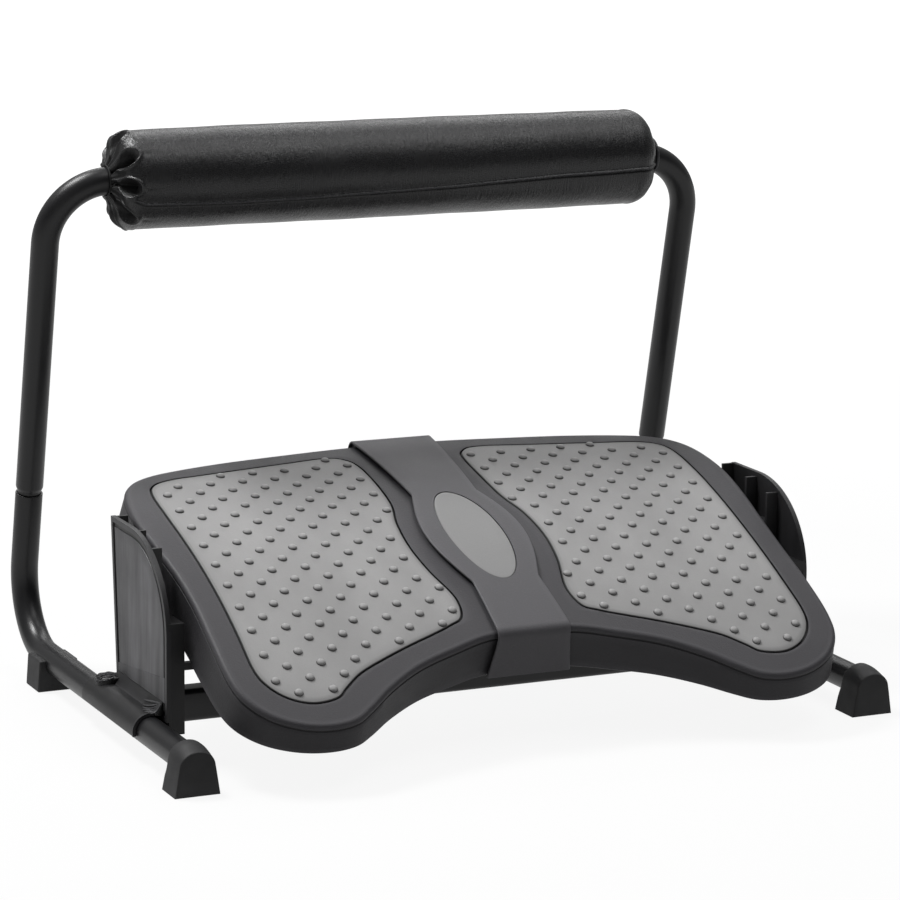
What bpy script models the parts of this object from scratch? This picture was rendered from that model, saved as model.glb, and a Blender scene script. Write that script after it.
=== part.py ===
"""Ergonomic footrest: tilting two-pad platform on side towers, tubular frame and padded calf roller.

Metres, +Z up. The user sits on the -Y side, X runs across, and the origin is on the floor under the
middle of the footrest. Sizes that can be set are named below; every other place is worked out from them.
"""

import math

import bmesh
import bpy
import numpy as np
from mathutils import Matrix, Vector
from mathutils.geometry import delaunay_2d_cdt

# General clearances and overruns
GAP = 0.0003                      # between touching pieces
OVERRUN = 0.002                   # how far a cutter passes the wall that it cuts
OVERLAP = 0.001                   # how far joined shapes run into each other
ROUND_SHARE = math.sin(math.pi / 4)   # half-way point of a quarter round, as a share of its radius
ROUND_SIDES = 20
HOLE_SIDES = 8

# Tube frame
RAIL_SPACING = 0.564
TUBE_DIAMETER = 0.022
TUBE_WALL = 0.0012
TUBE_SIDES = 14
RAIL_HEIGHT = 0.0225              # floor to rail centre line
RAIL_FRONT_Y = -0.1856
UPRIGHT_FOOT_Y = 0.2240           # where the upright's centre line would meet the floor
UPRIGHT_LEAN = math.radians(12.6)
LOWER_BEND_RADIUS = 0.055
UPPER_BEND_RADIUS = 0.050
BEND_STEPS = 7
BAR_HEIGHT = 0.4043
JOINT_HEIGHT = 0.1475
JOINT_SHADOW_GAP = 0.0012         # the dark ring between upper and lower tube
SWAGE_LENGTH = 0.040
SWAGE_TAPER = 0.005
JOINT_SCREW_DROP = 0.018          # below the joint, along the tube

# Screws
SCREW_DIAMETER = 0.004
SCREW_HEAD_DIAMETER = 0.008
SCREW_HEAD_HEIGHT = 0.0024
SCREW_DRIVE_DIAMETER = 0.0034
SCREW_DRIVE_DEPTH = 0.0012
SCREW_DRIVE_SIDES = 6
SCREW_BITE = 0.006                # how far a screw goes past the wall it holds

# Feet
FOOT_SPREAD = 0.013               # sole width beyond the tube's
FOOT_WALL = 0.0028
FRONT_FOOT_DEPTH = 0.0278
FRONT_FOOT_TOP_DEPTH = 0.0165
FRONT_FOOT_FACE = 0.003           # plastic in front of the tube's end
FOOT_ARCH_STEPS = 8
REAR_FOOT_DEPTH = 0.0304
REAR_FOOT_SET = 0.1030            # ahead of the upright's foot point
REAR_FOOT_LIP = 0.003             # above the rail centre line
REAR_FOOT_TOP_SPREAD = 0.0095     # top width beyond the tube's
FOOT_BEVEL = 0.0012
FOOT_SCREW_SINK = 0.0035

# Towers that carry the platform's axle
TOWER_OUTER_SET = 0.0098          # rail centre line to the outer plate's face
TOWER_PLATE = 0.0038
TOWER_BLOCK_DEPTH = 0.0144        # plate's outer face to the lower block's inner face
TOWER_RIB_DEPTH = 0.0132          # plate's outer face to the inner edge of ribs and rear wall
TOWER_RIB = 0.003
TOWER_HEAD = 0.0485               # tower's top above the axle
TOWER_FOOT_RISE = 0.0075          # plate's foot above the rail centre line
TOWER_BOTTOM_DROP = 0.0025        # block's bottom below the rail centre line
TOWER_CROWN_HEIGHT = 0.069        # the curved front edge is a quarter ellipse this high
TOWER_BROW = 0.010                # front of the crown, ahead of the front pocket
TOWER_CROWN_STEPS = 9
TOWER_REAR_LEAN = 0.0120          # how far the rear edge leans back from foot to top
RIB_TOP_DROP = 0.0035             # rib tops below the plate's edge
POCKET_PLAY = 0.0005              # each side of the trunnion
POCKET_STEP = 0.0063              # each pocket's floor stands this much above the one behind it
STOP_REACH = 0.0076               # tab under the platform's skirt, which stops it front down
STOP_DEPTH = 0.006
STOP_HEIGHT = 0.0055
STOP_GAP = 0.0004
FLANGE_HEIGHT = 0.0075
FLANGE_WIDTH = 0.0050
FIN_THICKNESS = 0.0014
FIN_PITCH = 0.0028
FIN_COUNT = 4
FIN_REACH = 0.009

# Saddles that wrap the rails, one moulding with each tower
SADDLE_WALL = 0.003
SADDLE_REAR_REACH = 0.0115        # behind the tower's rear wall
SADDLE_FRONT_SET = 0.009          # behind the tower's front
SADDLE_OPEN_SHARE = 0.28          # share of the turn left open below the rail
SADDLE_STEPS = 12
SADDLE_SCREW_SHARES = (0.38, 0.86)   # along the block, from its front
SADDLE_FIN_INSET = 0.014

# Crossbar
CROSSBAR_DEPTH = 0.020
CROSSBAR_HEIGHT = 0.025
CROSSBAR_WALL = 0.0016
CROSSBAR_CORNER = 0.004
CROSSBAR_CORNER_STEPS = 3
CROSSBAR_RISE = 0.0021            # its bottom above the rail centre line
CROSSBAR_BACK_SET = 0.0138        # tower front to crossbar front
CROSSBAR_END_GAP = 0.0012         # between the crossbar's end and the rail's tube
CROSSBAR_SCREW_SHARE = 0.4         # its screw's place along the socket, from the block's inner face

# Axle and trunnions
AXLE_DIAMETER = 0.012
AXLE_Y = -0.0351
AXLE_Z = 0.114
AXLE_CLEARANCE = 0.0003
TRUNNION_DIAMETER = 0.030
TRUNNION_WALL = 0.003             # closed end outside the axle
TRUNNION_CHAMFER = 0.001

# Platform, in its own frame: X across, W up the slope, H square to the flat base plane
PLATFORM_SIDE_GAP = 0.0018        # between the half width and the tower's block
PLATFORM_HALF_DEPTH = 0.177
PLATFORM_TILT = math.radians(21.8)
AXLE_W = 0.0161                   # the axle's place in the platform's frame
AXLE_H = 0.0137
EDGE_HEIGHT = 0.022               # top of the rim above the base plane at the front and back edges
DOME_RADIUS = 0.770
SKIN = 0.003
SKIRT_WALL = 0.0026
SKIRT_FLARE = 0.0026
RIM_ROUND = 0.0040
SKIRT_TOWER_CLEARANCE = 0.0045
TOWER_ZONE_MARGIN = 0.006         # skirt drawn in this far beyond the tower, fore and aft
TOWER_ZONE_BLEND = 0.028
SEAM_GAP = 0.0004                 # between the two halves
OUTLINE_STEPS = 2                 # points per stretch of an outline
STATION_PITCH = 0.028             # flat faces follow the dome in strips this wide
HUB_WALL = 0.005
HUB_LENGTH = 0.014
HUB_PLAY = 0.0009      # between a hub's end and the trunnion beside it
RIB_WALL = 0.0024
WEB_SHARES = (1 / 3, 2 / 3)            # of a half width, where cross webs stiffen the underside
RIB_DEPTH = 0.010                 # underside ribs below the skin
BOSS_DIAMETER = 0.009

# Outline of one half, from the seam at the front round the outer side to the seam at the back and down
# the seam, as shares of the half width and half depth. The insert's outline has a point for each of them.
RIM_OUTLINE_SHARES = (
    (0.000, -0.602), (0.137, -0.606), (0.262, -0.661), (0.395, -0.734), (0.508, -0.831), (0.594, -0.927),
    (0.656, -0.983), (0.738, -1.000), (0.828, -0.977), (0.910, -0.910), (0.965, -0.802), (0.984, -0.667),
    (0.984, -0.452), (0.980, -0.226), (0.984, 0.000), (0.996, 0.215), (1.002, 0.452), (0.980, 0.660),
    (0.934, 0.780), (0.861, 0.850), (0.754, 0.895), (0.586, 0.938), (0.391, 0.969), (0.195, 0.994),
    (0.000, 1.006), (0.000, 0.678), (0.000, 0.395), (0.000, 0.169), (0.000, -0.056), (0.000, -0.282),
    (0.000, -0.452),
)
RIM_CORNERS = (0, 24)             # which of those points are at the seam's two ends
INSERT_OUTLINE_SHARES = (
    (0.195, -0.475), (0.242, -0.520), (0.313, -0.565), (0.402, -0.616), (0.500, -0.678), (0.586, -0.740),
    (0.645, -0.808), (0.688, -0.859), (0.766, -0.873), (0.836, -0.831), (0.883, -0.751), (0.902, -0.650),
    (0.900, -0.452), (0.898, -0.226), (0.898, 0.000), (0.900, 0.215), (0.902, 0.452), (0.896, 0.655),
    (0.867, 0.746), (0.801, 0.791), (0.703, 0.811), (0.566, 0.836), (0.410, 0.864), (0.273, 0.887),
    (0.207, 0.859), (0.176, 0.746), (0.180, 0.407), (0.211, 0.215), (0.223, 0.028), (0.211, -0.158),
    (0.180, -0.350),
)

# Inserts with domed bumps
INSERT_THICKNESS = 0.0022
INSERT_PROUD = 0.0002             # how far the insert stands above the rim
BUMP_PITCH = 0.027
BUMP_FIRST_X = -0.00265           # a column of the one pattern that runs through both pads
BUMP_FIRST_W = 0.0555             # a row of bumps
BUMP_DIAMETER = 0.0068
BUMP_TOP_DIAMETER = 0.0032
BUMP_HEIGHT = 0.0018
BUMP_SIDES = 4
BUMP_MARGIN = 0.0075              # bump centre to the insert's edge

# Centre cover with its oval inlay
COVER_WALL = 0.0022
COVER_PLAY = 0.0006                # between its flaps and the skirts
COVER_RAISE = 0.0045              # top of the cover above the shells
COVER_HALF_WIDTH_BACK = 0.035
COVER_HALF_WIDTH_WAIST = 0.028
COVER_HALF_WIDTH_FRONT = 0.0305
COVER_HALF_WIDTH_FOOT = 0.035     # at the bottom of the front and back flaps
COVER_BULGE = 0.0135
COVER_BULGE_W = 0.011
COVER_BULGE_HALF_LENGTH = 0.061
COVER_EDGE_ROUND = 0.0015
COVER_STATIONS = 22
COVER_FLAP_STEPS = 3
INLAY_HALF_WIDTH = 0.023
INLAY_HALF_LENGTH = 0.0605
INLAY_THICKNESS = 0.0014
INLAY_POINTS = 28

# Joiner plate that ties the halves together from below
JOINER_HALF_WIDTH = 0.022
JOINER_LENGTH = 0.130
JOINER_THICKNESS = 0.004
JOINER_SCREW_SHARE = 0.36         # screw rows as a share of its length, each way from the middle

# Calf roller on the bar
ROLLER_DIAMETER = 0.0792
ROLLER_END_SET = 0.0535           # upright centre line to the roller's end
ROLLER_COVER_WALL = 0.0014
ROLLER_END_ROUND = 0.013
ROLLER_MOUTH_GAP = 0.0015         # between the gathered opening and the bar
ROLLER_SIDES = 32
ROLLER_END_RINGS = 3
ROLLER_PLEATS = 8
ROLLER_PLEAT_DEPTH = 0.0022
ROLLER_END_DRAW = 0.004           # how far the gathered mouth is drawn in
ROLLER_SEAM_DEPTH = 0.0012
ROLLER_CROWN = 0.0006             # the middle stands this much fuller than the ends
ROLLER_LENGTH_RINGS = 6
LINER_WALL = 0.0015
LINER_CLEARANCE = 0.0006

AXIS_X = Vector((1, 0, 0))
AXIS_Y = Vector((0, 1, 0))
AXIS_Z = Vector((0, 0, 1))

RAIL_X = RAIL_SPACING / 2
TUBE_RADIUS = TUBE_DIAMETER / 2
FOOT_WIDTH = TUBE_DIAMETER + FOOT_SPREAD
REAR_FOOT_TOP_WIDTH = TUBE_DIAMETER + REAR_FOOT_TOP_SPREAD
REAR_FOOT_HEIGHT = RAIL_HEIGHT + REAR_FOOT_LIP
REAR_FOOT_Y = UPRIGHT_FOOT_Y - REAR_FOOT_SET
TOWER_OUTER_X = RAIL_X - TOWER_OUTER_SET
TOWER_BLOCK_X = TOWER_OUTER_X - TOWER_BLOCK_DEPTH
TOWER_RIB_X = TOWER_OUTER_X - TOWER_RIB_DEPTH
TOWER_TOP = AXLE_Z + TOWER_HEAD
TOWER_FOOT = RAIL_HEIGHT + TOWER_FOOT_RISE
TOWER_BOTTOM = RAIL_HEIGHT - TOWER_BOTTOM_DROP
CROSSBAR_BOTTOM = RAIL_HEIGHT + CROSSBAR_RISE
CROSSBAR_SOCKET = RAIL_X - TUBE_RADIUS - CROSSBAR_END_GAP - TOWER_BLOCK_X
PLATFORM_HALF_WIDTH = TOWER_BLOCK_X - PLATFORM_SIDE_GAP
HUB_DIAMETER = AXLE_DIAMETER + 2 * HUB_WALL
ROLLER_HALF_LENGTH = RAIL_X - ROLLER_END_SET
ROLLER_MOUTH_DIAMETER = TUBE_DIAMETER + 2 * ROLLER_MOUTH_GAP
BORE_RADIUS = TUBE_RADIUS - TUBE_WALL
BAR_Y = UPRIGHT_FOOT_Y - math.tan(UPRIGHT_LEAN) * BAR_HEIGHT
UPRIGHT_UP = Vector((0, -math.sin(UPRIGHT_LEAN), math.cos(UPRIGHT_LEAN)))
POCKET_WIDTH = TRUNNION_DIAMETER + POCKET_PLAY + POCKET_PLAY
POCKET_PITCH = POCKET_WIDTH + TOWER_RIB
PLATE_INNER_X = TOWER_OUTER_X - TOWER_PLATE
MIDDLE_FLOOR = AXLE_Z - TRUNNION_DIAMETER / 2 - GAP
FRONT_FLOOR = MIDDLE_FLOOR + POCKET_STEP
REAR_FLOOR = MIDDLE_FLOOR - POCKET_STEP
FRONT_RIB_Y = AXLE_Y - POCKET_PITCH / 2
REAR_RIB_Y = AXLE_Y + POCKET_PITCH / 2
REAR_WALL_Y = REAR_RIB_Y + POCKET_PITCH
CROWN_Y = REAR_RIB_Y - TOWER_RIB / 2
TOWER_CROWN_DEPTH = 2 * POCKET_PITCH + TOWER_BROW
SADDLE_REAR_Y = REAR_WALL_Y + SADDLE_REAR_REACH
TOWER_FRONT_Y = CROWN_Y - TOWER_CROWN_DEPTH
SADDLE_FRONT_Y = TOWER_FRONT_Y + SADDLE_FRONT_SET
FRONT_FOOT_Y = RAIL_FRONT_Y - FRONT_FOOT_FACE
SADDLE_INNER = TUBE_RADIUS + GAP
SADDLE_OUTER = SADDLE_INNER + SADDLE_WALL
DOME_BASE = EDGE_HEIGHT - math.sqrt(DOME_RADIUS ** 2 - PLATFORM_HALF_DEPTH ** 2)


def clear_scene():
    for item in list(bpy.data.objects):
        bpy.data.objects.remove(item, do_unlink=True)


def material(name, colour, roughness, metallic=0.0):
    """A Principled material of one colour."""
    made = bpy.data.materials.new(name)
    made.use_nodes = True
    shader = made.node_tree.nodes["Principled BSDF"]
    shader.inputs["Base Color"].default_value = (*colour, 1.0)
    shader.inputs["Roughness"].default_value = roughness
    shader.inputs["Metallic"].default_value = metallic
    return made


def empty(name, location, parent=None, tilt=0.0):
    """An empty at a world place, which carries the pieces of one moving group."""
    made = bpy.data.objects.new(name, None)
    bpy.context.scene.collection.objects.link(made)
    made.parent = parent
    made.location = location
    made.rotation_euler = (tilt, 0.0, 0.0)
    bpy.context.view_layer.update()
    return made


def to_object(name, bm, finish=None, parent=None, helper=False):
    """A bmesh as an object; a helper is a cutter or an addition that is not itself a piece."""
    bmesh.ops.recalc_face_normals(bm, faces=bm.faces)
    mesh = bpy.data.meshes.new(name)
    bm.to_mesh(mesh)
    bm.free()
    made = bpy.data.objects.new(name, mesh)
    bpy.context.scene.collection.objects.link(made)
    made.parent = parent
    if finish:
        mesh.materials.append(finish)
    if helper:
        made.hide_render = True
        made.display_type = "WIRE"
    return made


def boolean(target, other, operation):
    """Cuts the helper from the target, or joins it on."""
    step = target.modifiers.new(other.name, "BOOLEAN")
    step.operation = operation
    step.solver = "EXACT"
    step.object = other


def cut(target, *helpers):
    for helper in helpers:
        boolean(target, helper, "DIFFERENCE")


def join(target, *helpers):
    for helper in helpers:
        boolean(target, helper, "UNION")


def smooth(mesh, angle=math.radians(35)):
    mesh.shade_smooth()
    mesh.set_sharp_from_angle(angle=angle)


def baked(obj):
    """The object with its modifiers turned into its mesh."""
    bpy.context.view_layer.update()
    graph = bpy.context.evaluated_depsgraph_get()
    mesh = bpy.data.meshes.new_from_object(obj.evaluated_get(graph))
    obj.modifiers.clear()
    obj.data = mesh
    smooth(mesh)
    return obj


def mirrored(obj, name):
    """The left twin of a right-hand piece, its own object and mesh."""
    bm = bmesh.new()
    bm.from_mesh(obj.data)
    bmesh.ops.scale(bm, vec=(-1, 1, 1), verts=bm.verts)
    bmesh.ops.reverse_faces(bm, faces=bm.faces)
    twin = to_object(name, bm, parent=obj.parent)
    twin.data.materials.append(obj.data.materials[0])
    twin.location = (-obj.location.x, obj.location.y, obj.location.z)
    smooth(twin.data)
    return twin


def pair(right):
    """Bakes a right-hand piece named right_... and makes its left twin."""
    baked(right)
    mirrored(right, right.name.replace("right_", "left_"))


def loft(rings, wrap=False, caps=True):
    """A closed surface through rings of equally many points: wrap joins the last ring to the first."""
    bm = bmesh.new()
    rows = [[bm.verts.new(point) for point in ring] for ring in rings]
    count = len(rows[0])
    pairs = list(zip(rows, rows[1:])) + ([(rows[-1], rows[0])] if wrap else [])
    for low, high in pairs:
        for i in range(count):
            j = (i + 1) % count
            bm.faces.new((low[i], low[j], high[j], high[i]))
    if caps and not wrap:
        bm.faces.new(reversed(rows[0]))
        bm.faces.new(rows[-1])
    return bm


def circle(centre, across, along, radius, sides, start=0.0):
    """Points round a circle that lies in the plane of two unit vectors."""
    turns = [start + 2 * math.pi * i / sides for i in range(sides)]
    return [centre + across * (radius * math.cos(a)) + along * (radius * math.sin(a)) for a in turns]


def cylinder(start, end, radius, sides=ROUND_SIDES):
    """A closed cylinder between two points."""
    axis = (end - start).normalized()
    across = axis.orthogonal().normalized()
    along = axis.cross(across)
    return loft([circle(place, across, along, radius, sides) for place in (start, end)])


def turned(start, axis, profile, sides=ROUND_SIDES):
    """A turned solid: the profile lists (distance along the axis, radius), both ends capped."""
    axis = axis.normalized()
    across = axis.orthogonal().normalized()
    along = axis.cross(across)
    return loft([circle(start + axis * run, across, along, radius, sides) for run, radius in profile])


def sleeve(start, axis, length, outer, inner, sides=ROUND_SIDES):
    """A hollow cylinder open at both ends."""
    axis = axis.normalized()
    across = axis.orthogonal().normalized()
    along = axis.cross(across)
    end = start + axis * length
    stops = ((start, outer), (end, outer), (end, inner), (start, inner))
    return loft([circle(place, across, along, radius, sides) for place, radius in stops], wrap=True)


def slab(outline, low_x, high_x):
    """An outline in Y and Z carried along X."""
    return loft([[Vector((x, y, z)) for y, z in outline] for x in (low_x, high_x)])


def box(low, high):
    """A box between two corners."""
    outline = ((low[1], low[2]), (high[1], low[2]), (high[1], high[2]), (low[1], high[2]))
    return slab(outline, low[0], high[0])


def rounded_path(corners, radius, steps):
    """A polyline through the corners, each inner corner replaced by an arc."""
    path = [corners[0]]
    for before, corner, after in zip(corners, corners[1:], corners[2:]):
        back, onward = (before - corner).normalized(), (after - corner).normalized()
        opening = back.angle(onward)
        reach = radius / math.tan(opening / 2)
        centre = corner + (back + onward).normalized() * (radius / math.sin(opening / 2))
        first, last = corner + back * reach - centre, corner + onward * reach - centre
        sweep = first.angle(last)
        for i in range(steps + 1):
            share = i / steps
            weights = (math.sin((1 - share) * sweep), math.sin(share * sweep))
            path.append(centre + (first * weights[0] + last * weights[1]) / math.sin(sweep))
    return path + [corners[-1]]


def pipe(path, outer, inner, normal, sides=TUBE_SIDES):
    """A hollow tube along a path that stays in the plane square to normal; radii are given per point."""
    outside, inside = [], []
    for i, place in enumerate(path):
        ahead = path[min(i + 1, len(path) - 1)] - path[max(i - 1, 0)]
        across = normal.cross(ahead).normalized()
        outside.append(circle(place, across, normal, outer[i], sides))
        inside.append(circle(place, across, normal, inner[i], sides))
    return loft(outside + inside[::-1], wrap=True)


def screw(name, seat, axis, length, finish, parent):
    """A pan-head screw whose head sits on seat and whose shank runs along axis."""
    head, shank = SCREW_HEAD_DIAMETER / 2, SCREW_DIAMETER / 2
    crown = SCREW_HEAD_HEIGHT / 2
    profile = ((-SCREW_HEAD_HEIGHT, head / 2), (-crown, head), (0.0, head),
               (0.0, shank), (length, shank))
    made = to_object(name, turned(seat, axis, profile, HOLE_SIDES), finish, parent)
    top = seat - axis * (SCREW_HEAD_HEIGHT + OVERRUN)
    floor = seat - axis * (SCREW_HEAD_HEIGHT - SCREW_DRIVE_DEPTH)
    radius = SCREW_DRIVE_DIAMETER / 2
    drive = cylinder(top, floor, radius, SCREW_DRIVE_SIDES)
    cut(made, to_object(name + "_drive", drive, None, parent, True))
    return made


def screw_hole(name, seat, axis, length, parent):
    """The clearance hole for a screw's shank."""
    start, end = seat - axis * OVERRUN, seat + axis * (length + GAP + GAP)
    hole = cylinder(start, end, SCREW_DIAMETER / 2 + GAP, HOLE_SIDES)
    return to_object(name, hole, None, parent, True)


def upright_point(height):
    """The upright's centre line at a height, on the right."""
    return Vector((RAIL_X, UPRIGHT_FOOT_Y - math.tan(UPRIGHT_LEAN) * height, height))


def build_tubes(paint, steel, root):
    """Lower side tubes, the upper bar that plugs into them, and the screw at each joint."""
    joint = upright_point(JOINT_HEIGHT)
    corner = upright_point(RAIL_HEIGHT)
    rail_end = Vector((RAIL_X, RAIL_FRONT_Y, RAIL_HEIGHT))
    path = rounded_path([rail_end, corner, joint], LOWER_BEND_RADIUS, BEND_STEPS)
    outer, inner = [TUBE_RADIUS] * len(path), [BORE_RADIUS] * len(path)
    side = to_object("right_side_tube", pipe(path, outer, inner, AXIS_X), paint, root)

    bar_end = joint - UPRIGHT_UP * SWAGE_LENGTH
    neck = joint + UPRIGHT_UP * JOINT_SHADOW_GAP
    full = neck + UPRIGHT_UP * SWAGE_TAPER
    top = upright_point(BAR_HEIGHT)
    flip = Matrix.Diagonal((-1, 1, 1))
    route = rounded_path([full, top, flip @ top, flip @ full], UPPER_BEND_RADIUS, BEND_STEPS)
    swage = BORE_RADIUS - GAP
    route = [bar_end, neck] + route + [flip @ neck, flip @ bar_end]
    outer = [swage] * 2 + [TUBE_RADIUS] * (len(route) - 4) + [swage] * 2
    inner = [radius - TUBE_WALL for radius in outer]
    lean_normal = UPRIGHT_UP.cross(AXIS_X)
    bar = to_object("upper_bar", pipe(route, outer, inner, lean_normal), paint, root)

    away = AXIS_X.cross(UPRIGHT_UP)
    away = away if away.y > 0 else -away
    seat = joint - UPRIGHT_UP * JOINT_SCREW_DROP + away * (TUBE_RADIUS + GAP)
    reach = TUBE_WALL + SCREW_BITE
    cut(side, screw_hole("joint_hole", seat, -away, reach, root))
    fastener = screw("right_joint_screw", seat, -away, reach, steel, root)
    cut(bar, screw_hole("bar_hole_right", seat, -away, reach, root))
    cut(bar, screw_hole("bar_hole_left", flip @ seat, -away, reach, root))
    return side, bar, fastener


def foot_outline(width, radius):
    """The tombstone section of a foot in X and Z about the rail: flat sole, straight sides, round top."""
    half_sole = width / 2
    lean = math.atan2(half_sole, RAIL_HEIGHT) + math.acos(radius / math.hypot(half_sole, RAIL_HEIGHT))
    start = lean - math.pi / 2
    turns = [start + (math.pi - 2 * start) * i / FOOT_ARCH_STEPS for i in range(FOOT_ARCH_STEPS + 1)]
    arch = [(radius * math.cos(a), RAIL_HEIGHT + radius * math.sin(a)) for a in turns]
    return [(-half_sole, 0.0), (half_sole, 0.0)] + arch


def build_feet(rubber, steel, root, side):
    """Front caps over the rails' ends and rear saddles under them, with the saddle's screw."""
    radius = TUBE_RADIUS + FOOT_WALL
    outline = foot_outline(FOOT_WIDTH, radius)
    top = RAIL_HEIGHT + radius
    rear_y = FRONT_FOOT_Y + FRONT_FOOT_DEPTH
    rake = (FRONT_FOOT_DEPTH - FRONT_FOOT_TOP_DEPTH) / top
    front = [Vector((RAIL_X + x, FRONT_FOOT_Y, z)) for x, z in outline]
    rear = [Vector((RAIL_X + x, rear_y - rake * z, z)) for x, z in outline]
    foot = to_object("right_front_foot", loft([front, rear]), rubber, root)
    bevel = foot.modifiers.new("edges", "BEVEL")
    bevel.width = FOOT_BEVEL
    bevel.segments = 1
    bevel.limit_method = "ANGLE"
    bevel.angle_limit = math.radians(60)
    bore_end = Vector((RAIL_X, rear_y + OVERRUN, RAIL_HEIGHT))
    bore_start = Vector((RAIL_X, RAIL_FRONT_Y - GAP, RAIL_HEIGHT))
    cut(foot, to_object("front_bore", cylinder(bore_start, bore_end, TUBE_RADIUS + GAP), None, root, True))
    pair(foot)

    low, high = FOOT_WIDTH / 2, REAR_FOOT_TOP_WIDTH / 2
    section = ((-low, 0.0), (low, 0.0), (high, REAR_FOOT_HEIGHT), (-high, REAR_FOOT_HEIGHT))
    ends = [[Vector((RAIL_X + x, y, z)) for x, z in section]
            for y in (REAR_FOOT_Y, REAR_FOOT_Y + REAR_FOOT_DEPTH)]
    foot = to_object("right_rear_foot", loft(ends), rubber, root)
    start = Vector((RAIL_X, REAR_FOOT_Y - OVERRUN, RAIL_HEIGHT))
    end = Vector((RAIL_X, REAR_FOOT_Y + REAR_FOOT_DEPTH + OVERRUN, RAIL_HEIGHT))
    middle = Vector((RAIL_X, REAR_FOOT_Y + REAR_FOOT_DEPTH / 2, FOOT_SCREW_SINK))
    sink = cylinder(middle - AXIS_Z * (FOOT_SCREW_SINK + OVERRUN), middle,
                    SCREW_HEAD_DIAMETER / 2 + GAP, HOLE_SIDES)
    reach = RAIL_HEIGHT - TUBE_RADIUS + TUBE_WALL + SCREW_BITE - FOOT_SCREW_SINK
    cut(foot, to_object("rear_bore", cylinder(start, end, TUBE_RADIUS + GAP), None, root, True))
    cut(foot, to_object("foot_sink", sink, None, root, True))
    cut(foot, screw_hole("foot_hole", middle, AXIS_Z, reach, root))
    cut(side, screw_hole("rail_foot_hole", middle, AXIS_Z, reach, root))
    pair(foot)
    pair(screw("right_rear_foot_screw", middle - AXIS_Z * GAP, AXIS_Z, reach, steel, root))


def rear_edge_y(height):
    """The tower's leaning rear edge."""
    share = (height - TOWER_FOOT) / (TOWER_TOP - TOWER_FOOT)
    return REAR_WALL_Y + TOWER_RIB / 2 + TOWER_REAR_LEAN * share - TOWER_REAR_LEAN / 2


def crown_height(y):
    """The tower's curved top edge over a place fore and aft."""
    share = min(max((CROWN_Y - y) / TOWER_CROWN_DEPTH, 0.0), 1.0)
    return TOWER_TOP - TOWER_CROWN_HEIGHT * (1 - math.sqrt(1 - share ** 2))


def tower_fins(root):
    """The short ribs that stiffen the foot flange near both ends of the saddle."""
    rail_top = RAIL_HEIGHT + SADDLE_OUTER
    inner_x = TOWER_OUTER_X + FLANGE_WIDTH - OVERLAP
    runs = ((SADDLE_REAR_Y - SADDLE_FIN_INSET, -1), (SADDLE_FRONT_Y + SADDLE_FIN_INSET, 1))
    for end_y, way in runs:
        for i in range(FIN_COUNT):
            y = end_y + way * FIN_PITCH * i
            tall, low = rail_top + FLANGE_HEIGHT - FIN_THICKNESS, RAIL_HEIGHT + SADDLE_INNER + OVERLAP
            section = ((inner_x, low), (inner_x + FIN_REACH, low), (inner_x, tall))
            ends = [[Vector((x, y + side * FIN_THICKNESS / 2, z)) for x, z in section]
                    for side in (-1, 1)]
            yield to_object("fin", loft(ends), None, root, True)


def skirt_bottom(y):
    """World height of the bottom of the platform's skirt at a place fore and aft."""
    run = (y - AXLE_Y - AXLE_H * math.sin(PLATFORM_TILT)) / math.cos(PLATFORM_TILT)
    return AXLE_Z + run * math.sin(PLATFORM_TILT) - AXLE_H * math.cos(PLATFORM_TILT)


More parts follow.
